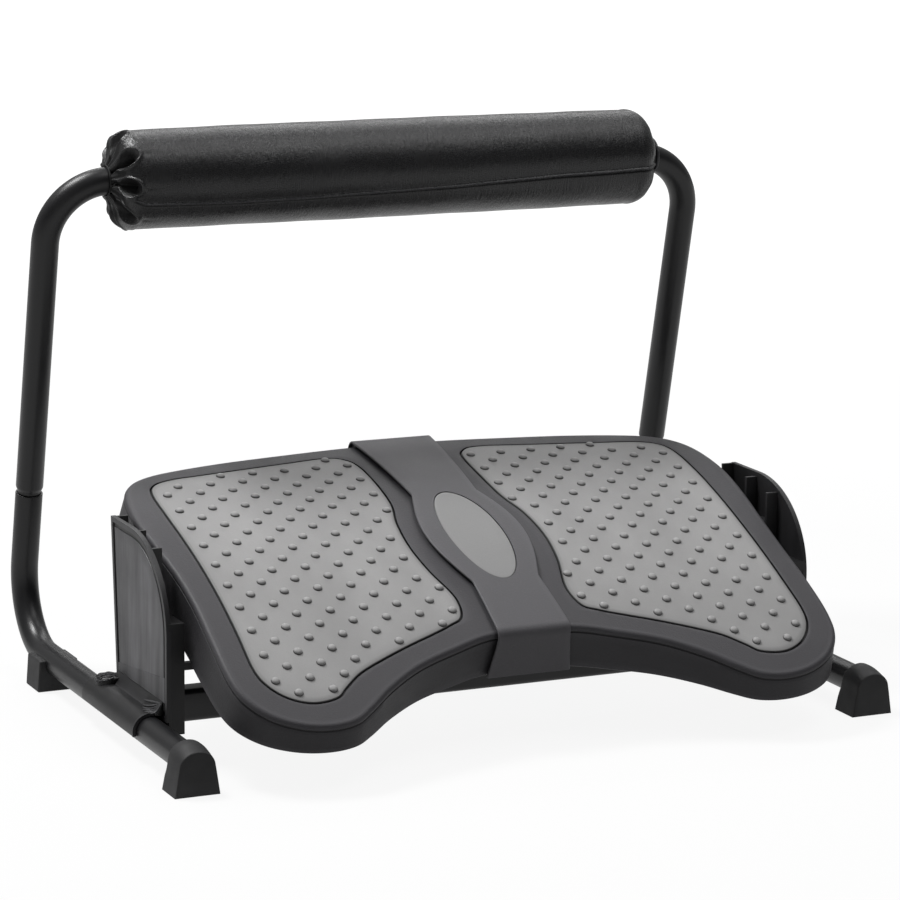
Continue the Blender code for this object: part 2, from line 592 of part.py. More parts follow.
def build_towers(plastic, steel, root, side):
    """Side towers: outer plate, ribs that part three open pockets, stepped block, rail saddle."""
    turns = [math.pi / 2 * i / TOWER_CROWN_STEPS for i in range(TOWER_CROWN_STEPS + 1)]
    crown_z = TOWER_TOP - TOWER_CROWN_HEIGHT
    crown = [(CROWN_Y - TOWER_CROWN_DEPTH * math.sin(a), crown_z + TOWER_CROWN_HEIGHT * math.cos(a))
             for a in turns]
    outline = [(rear_edge_y(TOWER_FOOT), TOWER_FOOT), (rear_edge_y(TOWER_TOP), TOWER_TOP)]
    outline += crown + [(TOWER_FRONT_Y, TOWER_FOOT)]
    tower = to_object("right_tower", slab(outline, PLATE_INNER_X, TOWER_OUTER_X), plastic, root)

    inside_x = PLATE_INNER_X + OVERLAP
    wall = [(rear_edge_y(z) - inset, z) for z, inset in (
        (TOWER_FOOT + OVERLAP, GAP), (TOWER_TOP - GAP, GAP),
        (TOWER_TOP - GAP, TOWER_RIB), (TOWER_FOOT + OVERLAP, TOWER_RIB))]
    join(tower, to_object("rear_wall", slab(wall, TOWER_RIB_X, inside_x), None, root, True))
    for rib_y, floor in ((REAR_RIB_Y, REAR_FLOOR), (FRONT_RIB_Y, MIDDLE_FLOOR)):
        low, high = rib_y - TOWER_RIB / 2, rib_y + TOWER_RIB / 2
        rib = box((TOWER_RIB_X, low, floor - OVERLAP), (inside_x, high, crown_height(rib_y) - RIB_TOP_DROP))
        join(tower, to_object("rib", rib, None, root, True))

    steps = ((TOWER_FRONT_Y + GAP, FRONT_FLOOR), (FRONT_RIB_Y - TOWER_RIB / 2, FRONT_FLOOR),
             (FRONT_RIB_Y - TOWER_RIB / 2, MIDDLE_FLOOR), (REAR_RIB_Y - TOWER_RIB / 2, MIDDLE_FLOOR),
             (REAR_RIB_Y - TOWER_RIB / 2, REAR_FLOOR), (rear_edge_y(REAR_FLOOR) - OVERLAP, REAR_FLOOR))
    foot = ((rear_edge_y(TOWER_FOOT) - OVERLAP, TOWER_BOTTOM), (TOWER_FRONT_Y + GAP, TOWER_BOTTOM))
    block_x = RAIL_X - SADDLE_INNER - GAP
    join(tower, to_object("block", slab(steps + foot, TOWER_BLOCK_X, block_x), None, root, True))

    tab_front = TOWER_FRONT_Y + OVERLAP
    tab_top = skirt_bottom(tab_front) - STOP_GAP
    tab = box((TOWER_BLOCK_X - STOP_REACH, tab_front, tab_top - STOP_HEIGHT),
              (TOWER_BLOCK_X + OVERLAP, tab_front + STOP_DEPTH, tab_top))
    join(tower, to_object("stop_tab", tab, None, root, True))

    open_half = math.pi * SADDLE_OPEN_SHARE
    sweep = [-math.pi / 2 + open_half + (2 * math.pi - 2 * open_half) * i / SADDLE_STEPS
             for i in range(SADDLE_STEPS + 1)]
    ring = [(SADDLE_OUTER, a) for a in sweep] + [(SADDLE_INNER, a) for a in reversed(sweep)]
    ends = [[Vector((RAIL_X + r * math.cos(a), y, RAIL_HEIGHT + r * math.sin(a))) for r, a in ring]
            for y in (SADDLE_FRONT_Y, SADDLE_REAR_Y)]
    join(tower, to_object("saddle", loft(ends), None, root, True))
    flange_low = (inside_x, TOWER_FRONT_Y + FLANGE_WIDTH, TOWER_FOOT + OVERLAP + OVERLAP)
    flange_high = (TOWER_OUTER_X + FLANGE_WIDTH, rear_edge_y(TOWER_FOOT) - OVERLAP,
                   RAIL_HEIGHT + SADDLE_OUTER + FLANGE_HEIGHT)
    flange = to_object("flange", box(flange_low, flange_high), None, root, True)
    keep = cylinder(Vector((RAIL_X, TOWER_FRONT_Y - OVERRUN, RAIL_HEIGHT)),
                    Vector((RAIL_X, SADDLE_REAR_Y + OVERRUN, RAIL_HEIGHT)), SADDLE_INNER)
    join(tower, flange, *tower_fins(root))
    cut(tower, to_object("rail_room", keep, None, root, True))

    bar_front = TOWER_FRONT_Y + CROSSBAR_BACK_SET
    socket = box((TOWER_BLOCK_X - OVERRUN, bar_front - GAP, CROSSBAR_BOTTOM - GAP),
                 (TOWER_BLOCK_X + CROSSBAR_SOCKET + GAP, bar_front + CROSSBAR_DEPTH + GAP,
                  CROSSBAR_BOTTOM + CROSSBAR_HEIGHT + GAP))
    cut(tower, to_object("socket", socket, None, root, True))
    seat = Vector((TOWER_BLOCK_X + CROSSBAR_SOCKET * CROSSBAR_SCREW_SHARE,
                   bar_front + CROSSBAR_DEPTH / 2, TOWER_BOTTOM - GAP))
    reach = CROSSBAR_BOTTOM - TOWER_BOTTOM + CROSSBAR_WALL + SCREW_BITE
    cut(tower, screw_hole("crossbar_hole", seat, AXIS_Z, reach, root))
    side_reach = block_x - TOWER_BLOCK_X + SADDLE_INNER - BORE_RADIUS + SCREW_BITE
    for place, share in zip(("front", "rear"), SADDLE_SCREW_SHARES):
        y = TOWER_FRONT_Y + share * (rear_edge_y(TOWER_FOOT) - TOWER_FRONT_Y)
        face = Vector((TOWER_BLOCK_X - GAP, y, RAIL_HEIGHT))
        cut(tower, screw_hole("saddle_hole_" + place, face, AXIS_X, side_reach, root))
        cut(side, screw_hole("rail_hole_" + place, face, AXIS_X, side_reach, root))
        pair(screw(f"right_saddle_screw_{place}", face, AXIS_X, side_reach, steel, root))
    pair(tower)
    return seat, reach


def rounded_box_outline(low_y, high_y, low_z, high_z, radius):
    """A rectangle in Y and Z with round corners."""
    outline = []
    corners = ((high_y - radius, high_z - radius), (low_y + radius, high_z - radius),
               (low_y + radius, low_z + radius), (high_y - radius, low_z + radius))
    for quarter, (y, z) in enumerate(corners):
        for i in range(CROSSBAR_CORNER_STEPS + 1):
            a = math.pi / 2 * (quarter + i / CROSSBAR_CORNER_STEPS)
            outline.append((y + radius * math.cos(a), z + radius * math.sin(a)))
    return outline


def build_crossbar(paint, steel, root, seat, reach):
    """The box-section bar between the towers' blocks, open at its ends, with a screw up into each."""
    front = TOWER_FRONT_Y + CROSSBAR_BACK_SET
    back, top = front + CROSSBAR_DEPTH, CROSSBAR_BOTTOM + CROSSBAR_HEIGHT
    wall = CROSSBAR_WALL
    outside = rounded_box_outline(front, back, CROSSBAR_BOTTOM, top, CROSSBAR_CORNER)
    inside = rounded_box_outline(front + wall, back - wall, CROSSBAR_BOTTOM + wall, top - wall,
                                 CROSSBAR_CORNER - wall)
    end_x = TOWER_BLOCK_X + CROSSBAR_SOCKET
    stops = ((-end_x, outside), (end_x, outside), (end_x, inside), (-end_x, inside))
    rings = [[Vector((x, y, z)) for y, z in ring] for x, ring in stops]
    bar = to_object("crossbar", loft(rings, wrap=True), paint, root)
    flip = Matrix.Diagonal((-1, 1, 1))
    cut(bar, screw_hole("bar_screw_right", seat, AXIS_Z, reach, root))
    cut(bar, screw_hole("bar_screw_left", flip @ seat, AXIS_Z, reach, root))
    baked(bar)
    pair(screw("right_crossbar_screw", seat, AXIS_Z, reach, steel, root))


def build_axle(steel, plastic, carrier):
    """The axle across the platform and the round trunnions that drop into the towers' pockets."""
    outer_x = PLATE_INNER_X - GAP * 2
    axle_end = outer_x - TRUNNION_WALL - GAP
    axle = cylinder(AXIS_X * -axle_end, AXIS_X * axle_end, AXLE_DIAMETER / 2)
    baked(to_object("axle", axle, steel, carrier))
    inner_x = TOWER_BLOCK_X + GAP * 4
    radius = TRUNNION_DIAMETER / 2
    length = outer_x - inner_x
    soft = radius - TRUNNION_CHAMFER
    profile = ((0.0, soft), (TRUNNION_CHAMFER, radius), (length - TRUNNION_CHAMFER, radius), (length, soft))
    trunnion = to_object("right_trunnion", turned(AXIS_X * inner_x, AXIS_X, profile), plastic, carrier)
    bore = cylinder(AXIS_X * (inner_x - OVERRUN), AXIS_X * (axle_end + GAP),
                    AXLE_DIAMETER / 2 + AXLE_CLEARANCE)
    cut(trunnion, to_object("trunnion_bore", bore, None, carrier, True))
    pair(trunnion)


def dome(w):
    """Height of the platform's top surface over its base plane."""
    return DOME_BASE + np.sqrt(DOME_RADIUS ** 2 - np.square(w))


def outline_points(shares, corners=(), straight=0.0):
    """A smooth closed curve through points given as shares: Catmull-Rom stretches between corners.
    Its first stretch, which the cover's front flap sits on, reaches at least as far as straight."""
    points = np.array(shares) * (PLATFORM_HALF_WIDTH, PLATFORM_HALF_DEPTH)
    points[1, 0] = max(points[1, 0], straight)
    before, after, later = (np.roll(points, shift, axis=0) for shift in (1, -1, -2))
    for corner in corners:
        before[corner], later[corner - 1] = points[corner], points[corner]
    curve = []
    for i in range(OUTLINE_STEPS):
        t = i / OUTLINE_STEPS
        bend = (2 * before - 5 * points + 4 * after - later) * t ** 2
        twist = (3 * points - before - 3 * after + later) * t ** 3
        curve.append((2 * points + (after - before) * t + bend + twist) / 2)
    curve = np.stack(curve, axis=1).reshape(-1, 2)
    curve[:, 0] = np.maximum(curve[:, 0], SEAM_GAP / 2)
    return curve


def grown(outline, distance):
    """The closed outline moved outwards along its normals, still on its own side of the seam."""
    ahead = np.roll(outline, -1, axis=0) - np.roll(outline, 1, axis=0)
    normal = np.stack([ahead[:, 1], -ahead[:, 0]], axis=1)
    normal /= np.linalg.norm(normal, axis=1, keepdims=True)
    moved = outline + normal * distance
    return moved


def tower_limit(w):
    """How far out the skirt may stand: beside the tower it stays inboard of the tower's block."""
    inner = TOWER_BLOCK_X - SKIRT_TOWER_CLEARANCE
    centre = (TOWER_FRONT_Y + rear_edge_y(TOWER_FOOT)) / 2 - AXLE_Y
    half = (rear_edge_y(TOWER_FOOT) - TOWER_FRONT_Y) / 2 + TOWER_ZONE_MARGIN
    beyond = np.abs((w - AXLE_W) - centre / math.cos(PLATFORM_TILT)) - half / math.cos(PLATFORM_TILT)
    return inner + np.clip(beyond / TOWER_ZONE_BLEND, 0.0, 1.0) * (PLATFORM_HALF_WIDTH + SKIRT_FLARE - inner)


def shell_rings():
    """Rings of one shell from the recess floor over the rim, down the skirt and up inside to the skin."""
    outline = outline_points(RIM_OUTLINE_SHARES, RIM_CORNERS, COVER_HALF_WIDTH_FOOT)
    recess = grown(outline_points(INSERT_OUTLINE_SHARES), GAP)
    seam = SEAM_GAP / 2

    def ring(outline, height):
        return np.column_stack([np.maximum(outline[:, 0], seam), outline[:, 1], height])

    rim = grown(outline, -RIM_ROUND)
    top = dome(rim[:, 1])
    foot = grown(outline, SKIRT_FLARE)
    foot[:, 0] = np.minimum(foot[:, 0], tower_limit(foot[:, 1]))
    inside_foot = grown(foot, -SKIRT_WALL)
    inside_top = grown(rim, -SKIRT_WALL)
    for inner in (inside_foot, inside_top):
        inner[:, 0] = np.maximum(inner[:, 0], seam + SKIRT_WALL)
    under = SKIN + INSERT_THICKNESS
    zero = np.zeros(len(outline))
    return [
        ring(recess, dome(recess[:, 1]) - INSERT_THICKNESS),
        ring(recess, dome(recess[:, 1])),
        ring(rim, top),
        ring(rim + (outline - rim) * ROUND_SHARE, top - RIM_ROUND * (1 - ROUND_SHARE)),
        ring(outline, top - RIM_ROUND),
        ring(foot, zero),
        ring(inside_foot, zero),
        ring(inside_top, dome(inside_top[:, 1]) - under),
    ]


def strips(bm, low=-PLATFORM_HALF_DEPTH, high=PLATFORM_HALF_DEPTH):
    """Splits the large flat faces across the slope, so that they follow the dome, then triangulates."""
    count = int(round((high - low) / STATION_PITCH))
    for i in range(1, count):
        w = low + (high - low) * i / count
        wide = [face for face in bm.faces if face.is_valid and len(face.verts) > 4]
        edges = {edge for face in wide for edge in face.edges}
        verts = {vert for face in wide for vert in face.verts}
        bmesh.ops.bisect_plane(bm, geom=wide + list(edges) + list(verts), dist=GAP / 2,
                               plane_co=(0.0, w, 0.0), plane_no=(0.0, 1.0, 0.0))
    bmesh.ops.triangulate(bm, faces=bm.faces)


def build_shells(plastic, platform):
    """The two moulded halves, with hubs for the axle and stiffening ribs below."""
    bm = loft([[Vector(point) for point in ring] for ring in shell_rings()])
    strips(bm)
    shell = to_object("right_shell", bm, plastic, platform)
    side_x = TOWER_BLOCK_X - SKIRT_TOWER_CLEARANCE
    hub = Vector((0.0, AXLE_W, AXLE_H))
    hub_radius = HUB_DIAMETER / 2
    places = ((side_x - HUB_LENGTH, TOWER_BLOCK_X + HUB_PLAY), (SEAM_GAP / 2, HUB_LENGTH))
    for start, end in places:
        post = cylinder(hub + AXIS_X * start, hub + AXIS_X * end, hub_radius, ROUND_SIDES)
        join(shell, to_object("hub", post, None, platform, True))
    for share in WEB_SHARES:
        x = share * PLATFORM_HALF_WIDTH
        top = float(dome(AXLE_W)) - SKIN - INSERT_THICKNESS + OVERLAP
        low = (x - RIB_WALL / 2, AXLE_W - HUB_DIAMETER, AXLE_H - hub_radius)
        high = (x + RIB_WALL / 2, AXLE_W + HUB_DIAMETER, top)
        join(shell, to_object("web", box(low, high), None, platform, True))
    bore = cylinder(hub - AXIS_X * OVERRUN, hub + AXIS_X * (TOWER_BLOCK_X + OVERRUN),
                    AXLE_DIAMETER / 2 + AXLE_CLEARANCE)
    cut(shell, to_object("axle_bore", bore, None, platform, True))
    return shell


def inside(point, outline):
    """Whether a point lies in the closed outline, by counting crossings."""
    x, w = point
    ahead = np.roll(outline, -1, axis=0)
    spans = (outline[:, 1] > w) != (ahead[:, 1] > w)
    rise = np.where(spans, ahead[:, 1] - outline[:, 1], 1.0)
    cross_x = outline[:, 0] + (w - outline[:, 1]) * (ahead[:, 0] - outline[:, 0]) / rise
    return bool(np.count_nonzero(spans & (cross_x > x)) % 2)


def bump_centres(outline, side):
    """Staggered rows of bumps clear of the insert's edge; side is 1 for the right pad, -1 for the left."""
    limit = grown(outline, -BUMP_MARGIN)
    half = BUMP_PITCH / 2
    reach = int(2 * (PLATFORM_HALF_WIDTH + PLATFORM_HALF_DEPTH) / BUMP_PITCH)
    for row in range(-reach, reach):
        for column in range(-reach, reach):
            if (row + column) % 2:
                continue
            place = (BUMP_FIRST_X + column * half, BUMP_FIRST_W + row * half)
            if side * place[0] > 0 and inside(place, limit):
                yield place


def build_insert(name, side, rubber, platform):
    """A pad: a sheet that follows the dome, set with low domed bumps; side is 1 on the right, else -1."""
    outline = outline_points(INSERT_OUTLINE_SHARES) * (side, 1)
    outline = outline[::side]
    centres = list(bump_centres(outline, side))
    turns = [2 * math.pi * i / BUMP_SIDES for i in range(BUMP_SIDES)]
    flat = [Vector(point) for point in outline]
    loops = [list(range(len(flat)))]
    for x, w in centres:
        loops.append(list(range(len(flat), len(flat) + BUMP_SIDES)))
        radius = BUMP_DIAMETER / 2
        flat += [Vector((x + radius * math.cos(a), w + radius * math.sin(a))) for a in turns]
    edges = [(loop[i], loop[(i + 1) % len(loop)]) for loop in loops for i in range(len(loop))]
    points, _, faces, _, _, _ = delaunay_2d_cdt(flat, edges, [], 1, GAP * OVERRUN)
    holes = {frozenset(loop[i] for i in range(len(loop))) for loop in loops[1:]}
    proud = INSERT_PROUD
    bm = bmesh.new()
    top = [bm.verts.new((p.x, p.y, float(dome(p.y)) + proud)) for p in points]
    for face in faces:
        if not any(set(face) <= hole for hole in holes):
            bm.faces.new([top[i] for i in face])
    for (x, w), loop in zip(centres, loops[1:]):
        radius = BUMP_TOP_DIAMETER / 2
        crest = float(dome(w)) + proud + BUMP_HEIGHT
        ring = [bm.verts.new((x + radius * math.cos(a), w + radius * math.sin(a), crest)) for a in turns]
        for i in range(BUMP_SIDES):
            j = (i + 1) % BUMP_SIDES
            bm.faces.new((top[loop[i]], top[loop[j]], ring[j], ring[i]))
        bm.faces.new(ring)
    low = INSERT_THICKNESS - GAP
    bottom = [bm.verts.new((p[0], p[1], float(dome(p[1])) - low)) for p in outline]
    count = len(outline)
    for i in range(count):
        j = (i + 1) % count
        bm.faces.new((bottom[i], bottom[j], top[j], top[i]))
    bm.faces.new(reversed(bottom))
    strips(bm)
    baked(to_object(name, bm, rubber, platform))


def cover_half_width(w):
    """Half width of the centre cover: tapered bands with a waist at each end of a bulge round the inlay."""
    reach = w - COVER_BULGE_W
    swell = np.where(np.abs(reach) < COVER_BULGE_HALF_LENGTH,
                     np.cos(math.pi / 2 * reach / COVER_BULGE_HALF_LENGTH), 0.0)
    back = COVER_HALF_WIDTH_BACK - COVER_HALF_WIDTH_WAIST
    front = COVER_HALF_WIDTH_FRONT - COVER_HALF_WIDTH_WAIST
    back_share = np.clip((reach - COVER_BULGE_HALF_LENGTH)
                         / (PLATFORM_HALF_DEPTH - COVER_BULGE_W - COVER_BULGE_HALF_LENGTH), 0.0, 1.0)
    front_edge = -PLATFORM_HALF_DEPTH * RIM_OUTLINE_SHARES[0][1]
    front_share = np.clip((-reach - COVER_BULGE_HALF_LENGTH)
                          / (front_edge + COVER_BULGE_W - COVER_BULGE_HALF_LENGTH), 0.0, 1.0)
    return COVER_HALF_WIDTH_WAIST + COVER_BULGE * swell + back * back_share + front * front_share


def cover_path():
    """Places (w, h), outward normals and half widths along the cover, from front flap to back flap."""
    front = PLATFORM_HALF_DEPTH * RIM_OUTLINE_SHARES[0][1]
    back = PLATFORM_HALF_DEPTH * RIM_OUTLINE_SHARES[RIM_CORNERS[1]][1]
    places = []
    for edge, way in ((front, -1), (back, 1)):
        rim = edge - way * RIM_ROUND
        top, out = float(dome(rim)), edge + way * COVER_PLAY
        drop = top - RIM_ROUND
        width = float(cover_half_width(rim))
        flap = []
        for i in range(COVER_FLAP_STEPS + 1):
            share = i / COVER_FLAP_STEPS
            flap.append((out + way * SKIRT_FLARE * (1 - share), drop * share,
                         COVER_HALF_WIDTH_FOOT + (width - COVER_HALF_WIDTH_FOOT) * share))
        flap.append((rim + (out - rim) * ROUND_SHARE, top - RIM_ROUND * (1 - ROUND_SHARE), width))
        places.append(flap)
    front, back = front + RIM_ROUND, back - RIM_ROUND
    middle = [(w, float(dome(w)), float(cover_half_width(w)))
              for w in np.linspace(front, back, COVER_STATIONS)]
    return places[0] + middle + places[1][::-1]


def build_cover(plastic, grey, platform):
    """The raised cover over the seam, clipped over both edges, and the plain oval let into it."""
    path = cover_path()
    rings = []
    for i, (w, h, half) in enumerate(path):
        before, after = path[max(i - 1, 0)], path[min(i + 1, len(path) - 1)]
        along = Vector((0.0, after[0] - before[0], after[1] - before[1])).normalized()
        up = Vector((0.0, -along.z, along.y))
        place = Vector((0.0, w, h))
        side, high, low = half, COVER_RAISE, GAP
        soft = side - COVER_EDGE_ROUND
        inner = side - COVER_WALL
        section = ((-side, low), (-side, high - COVER_EDGE_ROUND), (-soft, high), (soft, high),
                   (side, high - COVER_EDGE_ROUND), (side, low), (inner, low), (inner, high - COVER_WALL),
                   (-inner, high - COVER_WALL), (-inner, low))
        rings.append([place + AXIS_X * x + up * n for x, n in section])
    cover = to_object("centre_cover", loft(rings), plastic, platform)
    floor = COVER_RAISE - INLAY_THICKNESS
    cutter = inlay_mesh(INLAY_HALF_WIDTH + GAP, INLAY_HALF_LENGTH + GAP, floor - GAP, COVER_RAISE + OVERRUN)
    cut(cover, to_object("inlay_recess", cutter, None, platform, True))
    baked(cover)
    oval = inlay_mesh(INLAY_HALF_WIDTH, INLAY_HALF_LENGTH, floor, COVER_RAISE)
    baked(to_object("oval_inlay", oval, grey, platform))


def inlay_mesh(half_width, half_length, low, high):
    """An oval sheet between two heights over the dome."""
    turns = np.arange(INLAY_POINTS) * (2 * math.pi / INLAY_POINTS)
    x, w = half_width * np.cos(turns), COVER_BULGE_W + half_length * np.sin(turns)
    bm = loft([[Vector(point) for point in np.column_stack([x, w, dome(w) + height])]
               for height in (low, high)])
    strips(bm, COVER_BULGE_W - half_length, COVER_BULGE_W + half_length)
    return bm


def build_joiner(plastic, steel, platform, shell):
    """The plate across the seam below, screwed up into a boss of each half at both ends."""
    half = JOINER_LENGTH / 2
    front, back = AXLE_W - half, AXLE_W + half
    high = AXLE_H - HUB_DIAMETER / 2 - GAP
    plate = box((-JOINER_HALF_WIDTH, front, high - JOINER_THICKNESS), (JOINER_HALF_WIDTH, back, high))
    joiner = to_object("centre_joiner", plate, plastic, platform)
    flip = Matrix.Diagonal((-1, 1, 1))
    under = high - JOINER_THICKNESS - GAP
    for place, way in (("front", -1), ("back", 1)):
        w = AXLE_W + way * JOINER_SCREW_SHARE * JOINER_LENGTH
        seat = Vector((JOINER_HALF_WIDTH / 2, w, under))
        reach = JOINER_THICKNESS + SCREW_BITE
        top = float(dome(w)) - SKIN - INSERT_THICKNESS + OVERLAP
        foot = Vector((seat.x, w, high + GAP))
        post = cylinder(foot, Vector((seat.x, w, top)), BOSS_DIAMETER / 2, HOLE_SIDES)
        join(shell, to_object("boss", post, None, platform, True))
        cut(shell, screw_hole("boss_hole", seat, AXIS_Z, reach, platform))
        cut(joiner, screw_hole("joiner_hole", seat, AXIS_Z, reach, platform))
        cut(joiner, screw_hole("joiner_hole", flip @ seat, AXIS_Z, reach, platform))
        pair(screw(f"right_joiner_screw_{place}", seat, AXIS_Z, reach, steel, platform))
    room = box((-JOINER_HALF_WIDTH - GAP, front - GAP, high - JOINER_THICKNESS - OVERRUN),
               (JOINER_HALF_WIDTH + GAP, back + GAP, high + GAP))
    cut(shell, to_object("joiner_room", room, None, platform, True))
    baked(joiner)


def roller_radius(share, turn):
    """Outer radius along the roller: a slight crown, and a shallow dip along the sewn seam."""
    seam = math.exp(-(turn / (2 * math.pi / ROLLER_SIDES)) ** 2)
    return ROLLER_DIAMETER / 2 - ROLLER_CROWN * share ** 2 - ROLLER_SEAM_DEPTH * seam


def roller_ring(x, radius_of, shift_of):
    """A ring of the cover; its points may be moved along X by the pleats."""
    turns = [2 * math.pi * i / ROLLER_SIDES for i in range(ROLLER_SIDES)]
    ring = []
    for a in turns:
        wrapped = (a + math.pi) % (2 * math.pi) - math.pi
        radius = radius_of(wrapped)
        ring.append(Vector((x + shift_of(a), radius * math.cos(a), radius * math.sin(a))))
    return ring


def cover_rings(inset):
    """Rings of the roller's skin from mouth to mouth, moved inwards by a wall for its inner face."""
    straight = ROLLER_HALF_LENGTH - ROLLER_END_ROUND
    mouth = ROLLER_MOUTH_DIAMETER / 2
    round_by = ROLLER_END_ROUND - inset
    full = ROLLER_DIAMETER / 2 - ROLLER_CROWN

    def end_rings(way):
        made = []
        for i in range(ROLLER_END_RINGS + 1):
            a = math.pi / 2 * (1 - i / ROLLER_END_RINGS)
            radius = full - ROLLER_END_ROUND + round_by * math.cos(a)
            x = way * (straight + round_by * math.sin(a))
            made.append((x, radius, math.sin(a)))
        face = [(way * (ROLLER_HALF_LENGTH - ROLLER_END_DRAW - inset), mouth, 1.0)]
        between = (mouth + made[0][1]) / 2
        face.append((way * (ROLLER_HALF_LENGTH - ROLLER_END_DRAW / 4 - inset), between, 1.0))
        return face + made

    def as_ring(x, radius, way, pleat):
        def shift(a):
            return way * pleat * ROLLER_PLEAT_DEPTH / 2 * (math.cos(ROLLER_PLEATS * a) - 1)
        return roller_ring(x, lambda turn: radius, shift)

    left = [as_ring(x, radius, -1, pleat / 2) for x, radius, pleat in end_rings(-1)]
    right = [as_ring(x, radius, 1, pleat / 2) for x, radius, pleat in end_rings(1)]
    middle = []
    for i in range(1, ROLLER_LENGTH_RINGS):
        share = 2 * i / ROLLER_LENGTH_RINGS - 1
        middle.append(roller_ring(share * straight, lambda turn: roller_radius(share, turn) - inset,
                                  lambda a: 0.0))
    return left + middle + right[::-1]


def build_roller(leather, foam, liner, roller):
    """The padded calf roller: liner tube on the bar, foam, and the sewn cover gathered round the bar."""
    cover = loft(cover_rings(0.0) + cover_rings(ROLLER_COVER_WALL)[::-1], wrap=True)
    baked(to_object("roller_cover", cover, leather, roller))
    bore = TUBE_RADIUS + LINER_CLEARANCE
    shell = bore + LINER_WALL
    length = ROLLER_HALF_LENGTH - ROLLER_END_DRAW - ROLLER_PLEAT_DEPTH - ROLLER_COVER_WALL - GAP * 4
    start = AXIS_X * -length
    baked(to_object("roller_liner", sleeve(start, AXIS_X, length + length, shell, bore), liner, roller))
    outer = ROLLER_DIAMETER / 2 - ROLLER_COVER_WALL - ROLLER_SEAM_DEPTH - ROLLER_CROWN - GAP
    soft = ROLLER_END_ROUND
    profile = ((-length, outer - soft), (soft - length, outer),
               (length - soft, outer), (length, outer - soft))
    rings = [circle(AXIS_X * x, AXIS_Y, AXIS_Z, radius, ROUND_SIDES) for x, radius in profile]
    rings += [circle(AXIS_X * x, AXIS_Y, AXIS_Z, shell + GAP, ROUND_SIDES) for x in (length, -length)]
    baked(to_object("roller_foam", loft(rings, wrap=True), foam, roller))


def main():
    clear_scene()
    paint = material("satin black paint", (0.012, 0.012, 0.014), 0.38)
    steel = material("zinc plated steel", (0.45, 0.45, 0.47), 0.35, 1.0)
    shell_plastic = material("charcoal moulded plastic", (0.075, 0.072, 0.080), 0.55)
    tower_plastic = material("black moulded plastic", (0.022, 0.022, 0.025), 0.45)
    cover_plastic = material("grey moulded plastic", (0.110, 0.107, 0.116), 0.50)
    pad_rubber = material("grey pad rubber", (0.32, 0.32, 0.31), 0.60)
    foot_rubber = material("black foot rubber", (0.020, 0.020, 0.021), 0.70)
    leather = material("black leatherette", (0.010, 0.010, 0.011), 0.35)
    foam = material("dark foam", (0.10, 0.10, 0.10), 0.95)

    root = empty("frame", (0.0, 0.0, 0.0))
    roller = empty("roller_pivot", (0.0, BAR_Y, BAR_HEIGHT), root)
    carrier = empty("axle_carrier", (0.0, AXLE_Y, AXLE_Z), root)
    pivot = empty("platform_pivot", (0.0, 0.0, 0.0), carrier, PLATFORM_TILT)
    platform = empty("platform_base", (0.0, -AXLE_W, -AXLE_H), pivot)

    side, bar, joint_screw = build_tubes(paint, steel, root)
    build_feet(foot_rubber, steel, root, side)
    seat, reach = build_towers(tower_plastic, steel, root, side)
    build_crossbar(paint, steel, root, seat, reach)
    pair(side)
    pair(joint_screw)
    baked(bar)
    build_axle(steel, tower_plastic, carrier)
    shell = build_shells(shell_plastic, platform)
    build_joiner(tower_plastic, steel, platform, shell)
    pair(shell)
    build_insert("right_insert", 1, pad_rubber, platform)
    build_insert("left_insert", -1, pad_rubber, platform)
    build_cover(cover_plastic, pad_rubber, platform)
    build_roller(leather, foam, tower_plastic, roller)


main()
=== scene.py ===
"""Looks of the under-desk footrest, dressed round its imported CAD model.

Every shape is a surface worked out with numpy: a grid of two parameters, or a profile carried along a
path. Metres, +Z up, the user on the -Y side. The platform's own frame has X across, W up its slope and H
square to its base plane.
"""

from __future__ import annotations

import logging
import math
from dataclasses import dataclass, field
from enum import Enum

import bpy
import numpy as np
from mathutils import Matrix, Vector


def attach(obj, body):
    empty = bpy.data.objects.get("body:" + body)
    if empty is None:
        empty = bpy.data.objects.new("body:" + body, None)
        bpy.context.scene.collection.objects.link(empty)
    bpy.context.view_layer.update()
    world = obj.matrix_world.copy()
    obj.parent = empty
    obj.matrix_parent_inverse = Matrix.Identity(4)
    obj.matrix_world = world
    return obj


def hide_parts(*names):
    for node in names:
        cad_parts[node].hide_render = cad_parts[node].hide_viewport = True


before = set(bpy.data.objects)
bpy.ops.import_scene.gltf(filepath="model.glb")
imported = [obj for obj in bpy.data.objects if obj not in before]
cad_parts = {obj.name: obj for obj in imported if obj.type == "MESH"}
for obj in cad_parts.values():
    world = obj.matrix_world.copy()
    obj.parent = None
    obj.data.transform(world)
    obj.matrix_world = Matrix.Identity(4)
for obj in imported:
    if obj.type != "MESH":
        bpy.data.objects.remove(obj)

Array = np.ndarray
Piece = bpy.types.Object
Material = bpy.types.Material
Socket = bpy.types.NodeSocket
Pair = tuple[float, float]
Triple = tuple[float, float, float]
Colour = Triple
TURN = 2 * math.pi
SHARP = math.radians(38)
ACROSS, UP = np.eye(3)[0], np.eye(3)[2]
LOG = logging.getLogger("footrest")


class Axis(Enum):
    """The world axis that an outline is carried along."""

    X = 0
    Y = 1
    Z = 2


class Side(Enum):
    """The footrest's left or right half, as the user sees it."""

    LEFT = -1
    RIGHT = 1

    @property
    def label(self) -> str:
        """The side's name as it starts a piece's name."""
        return self.name.lower()


# ---- surfaces


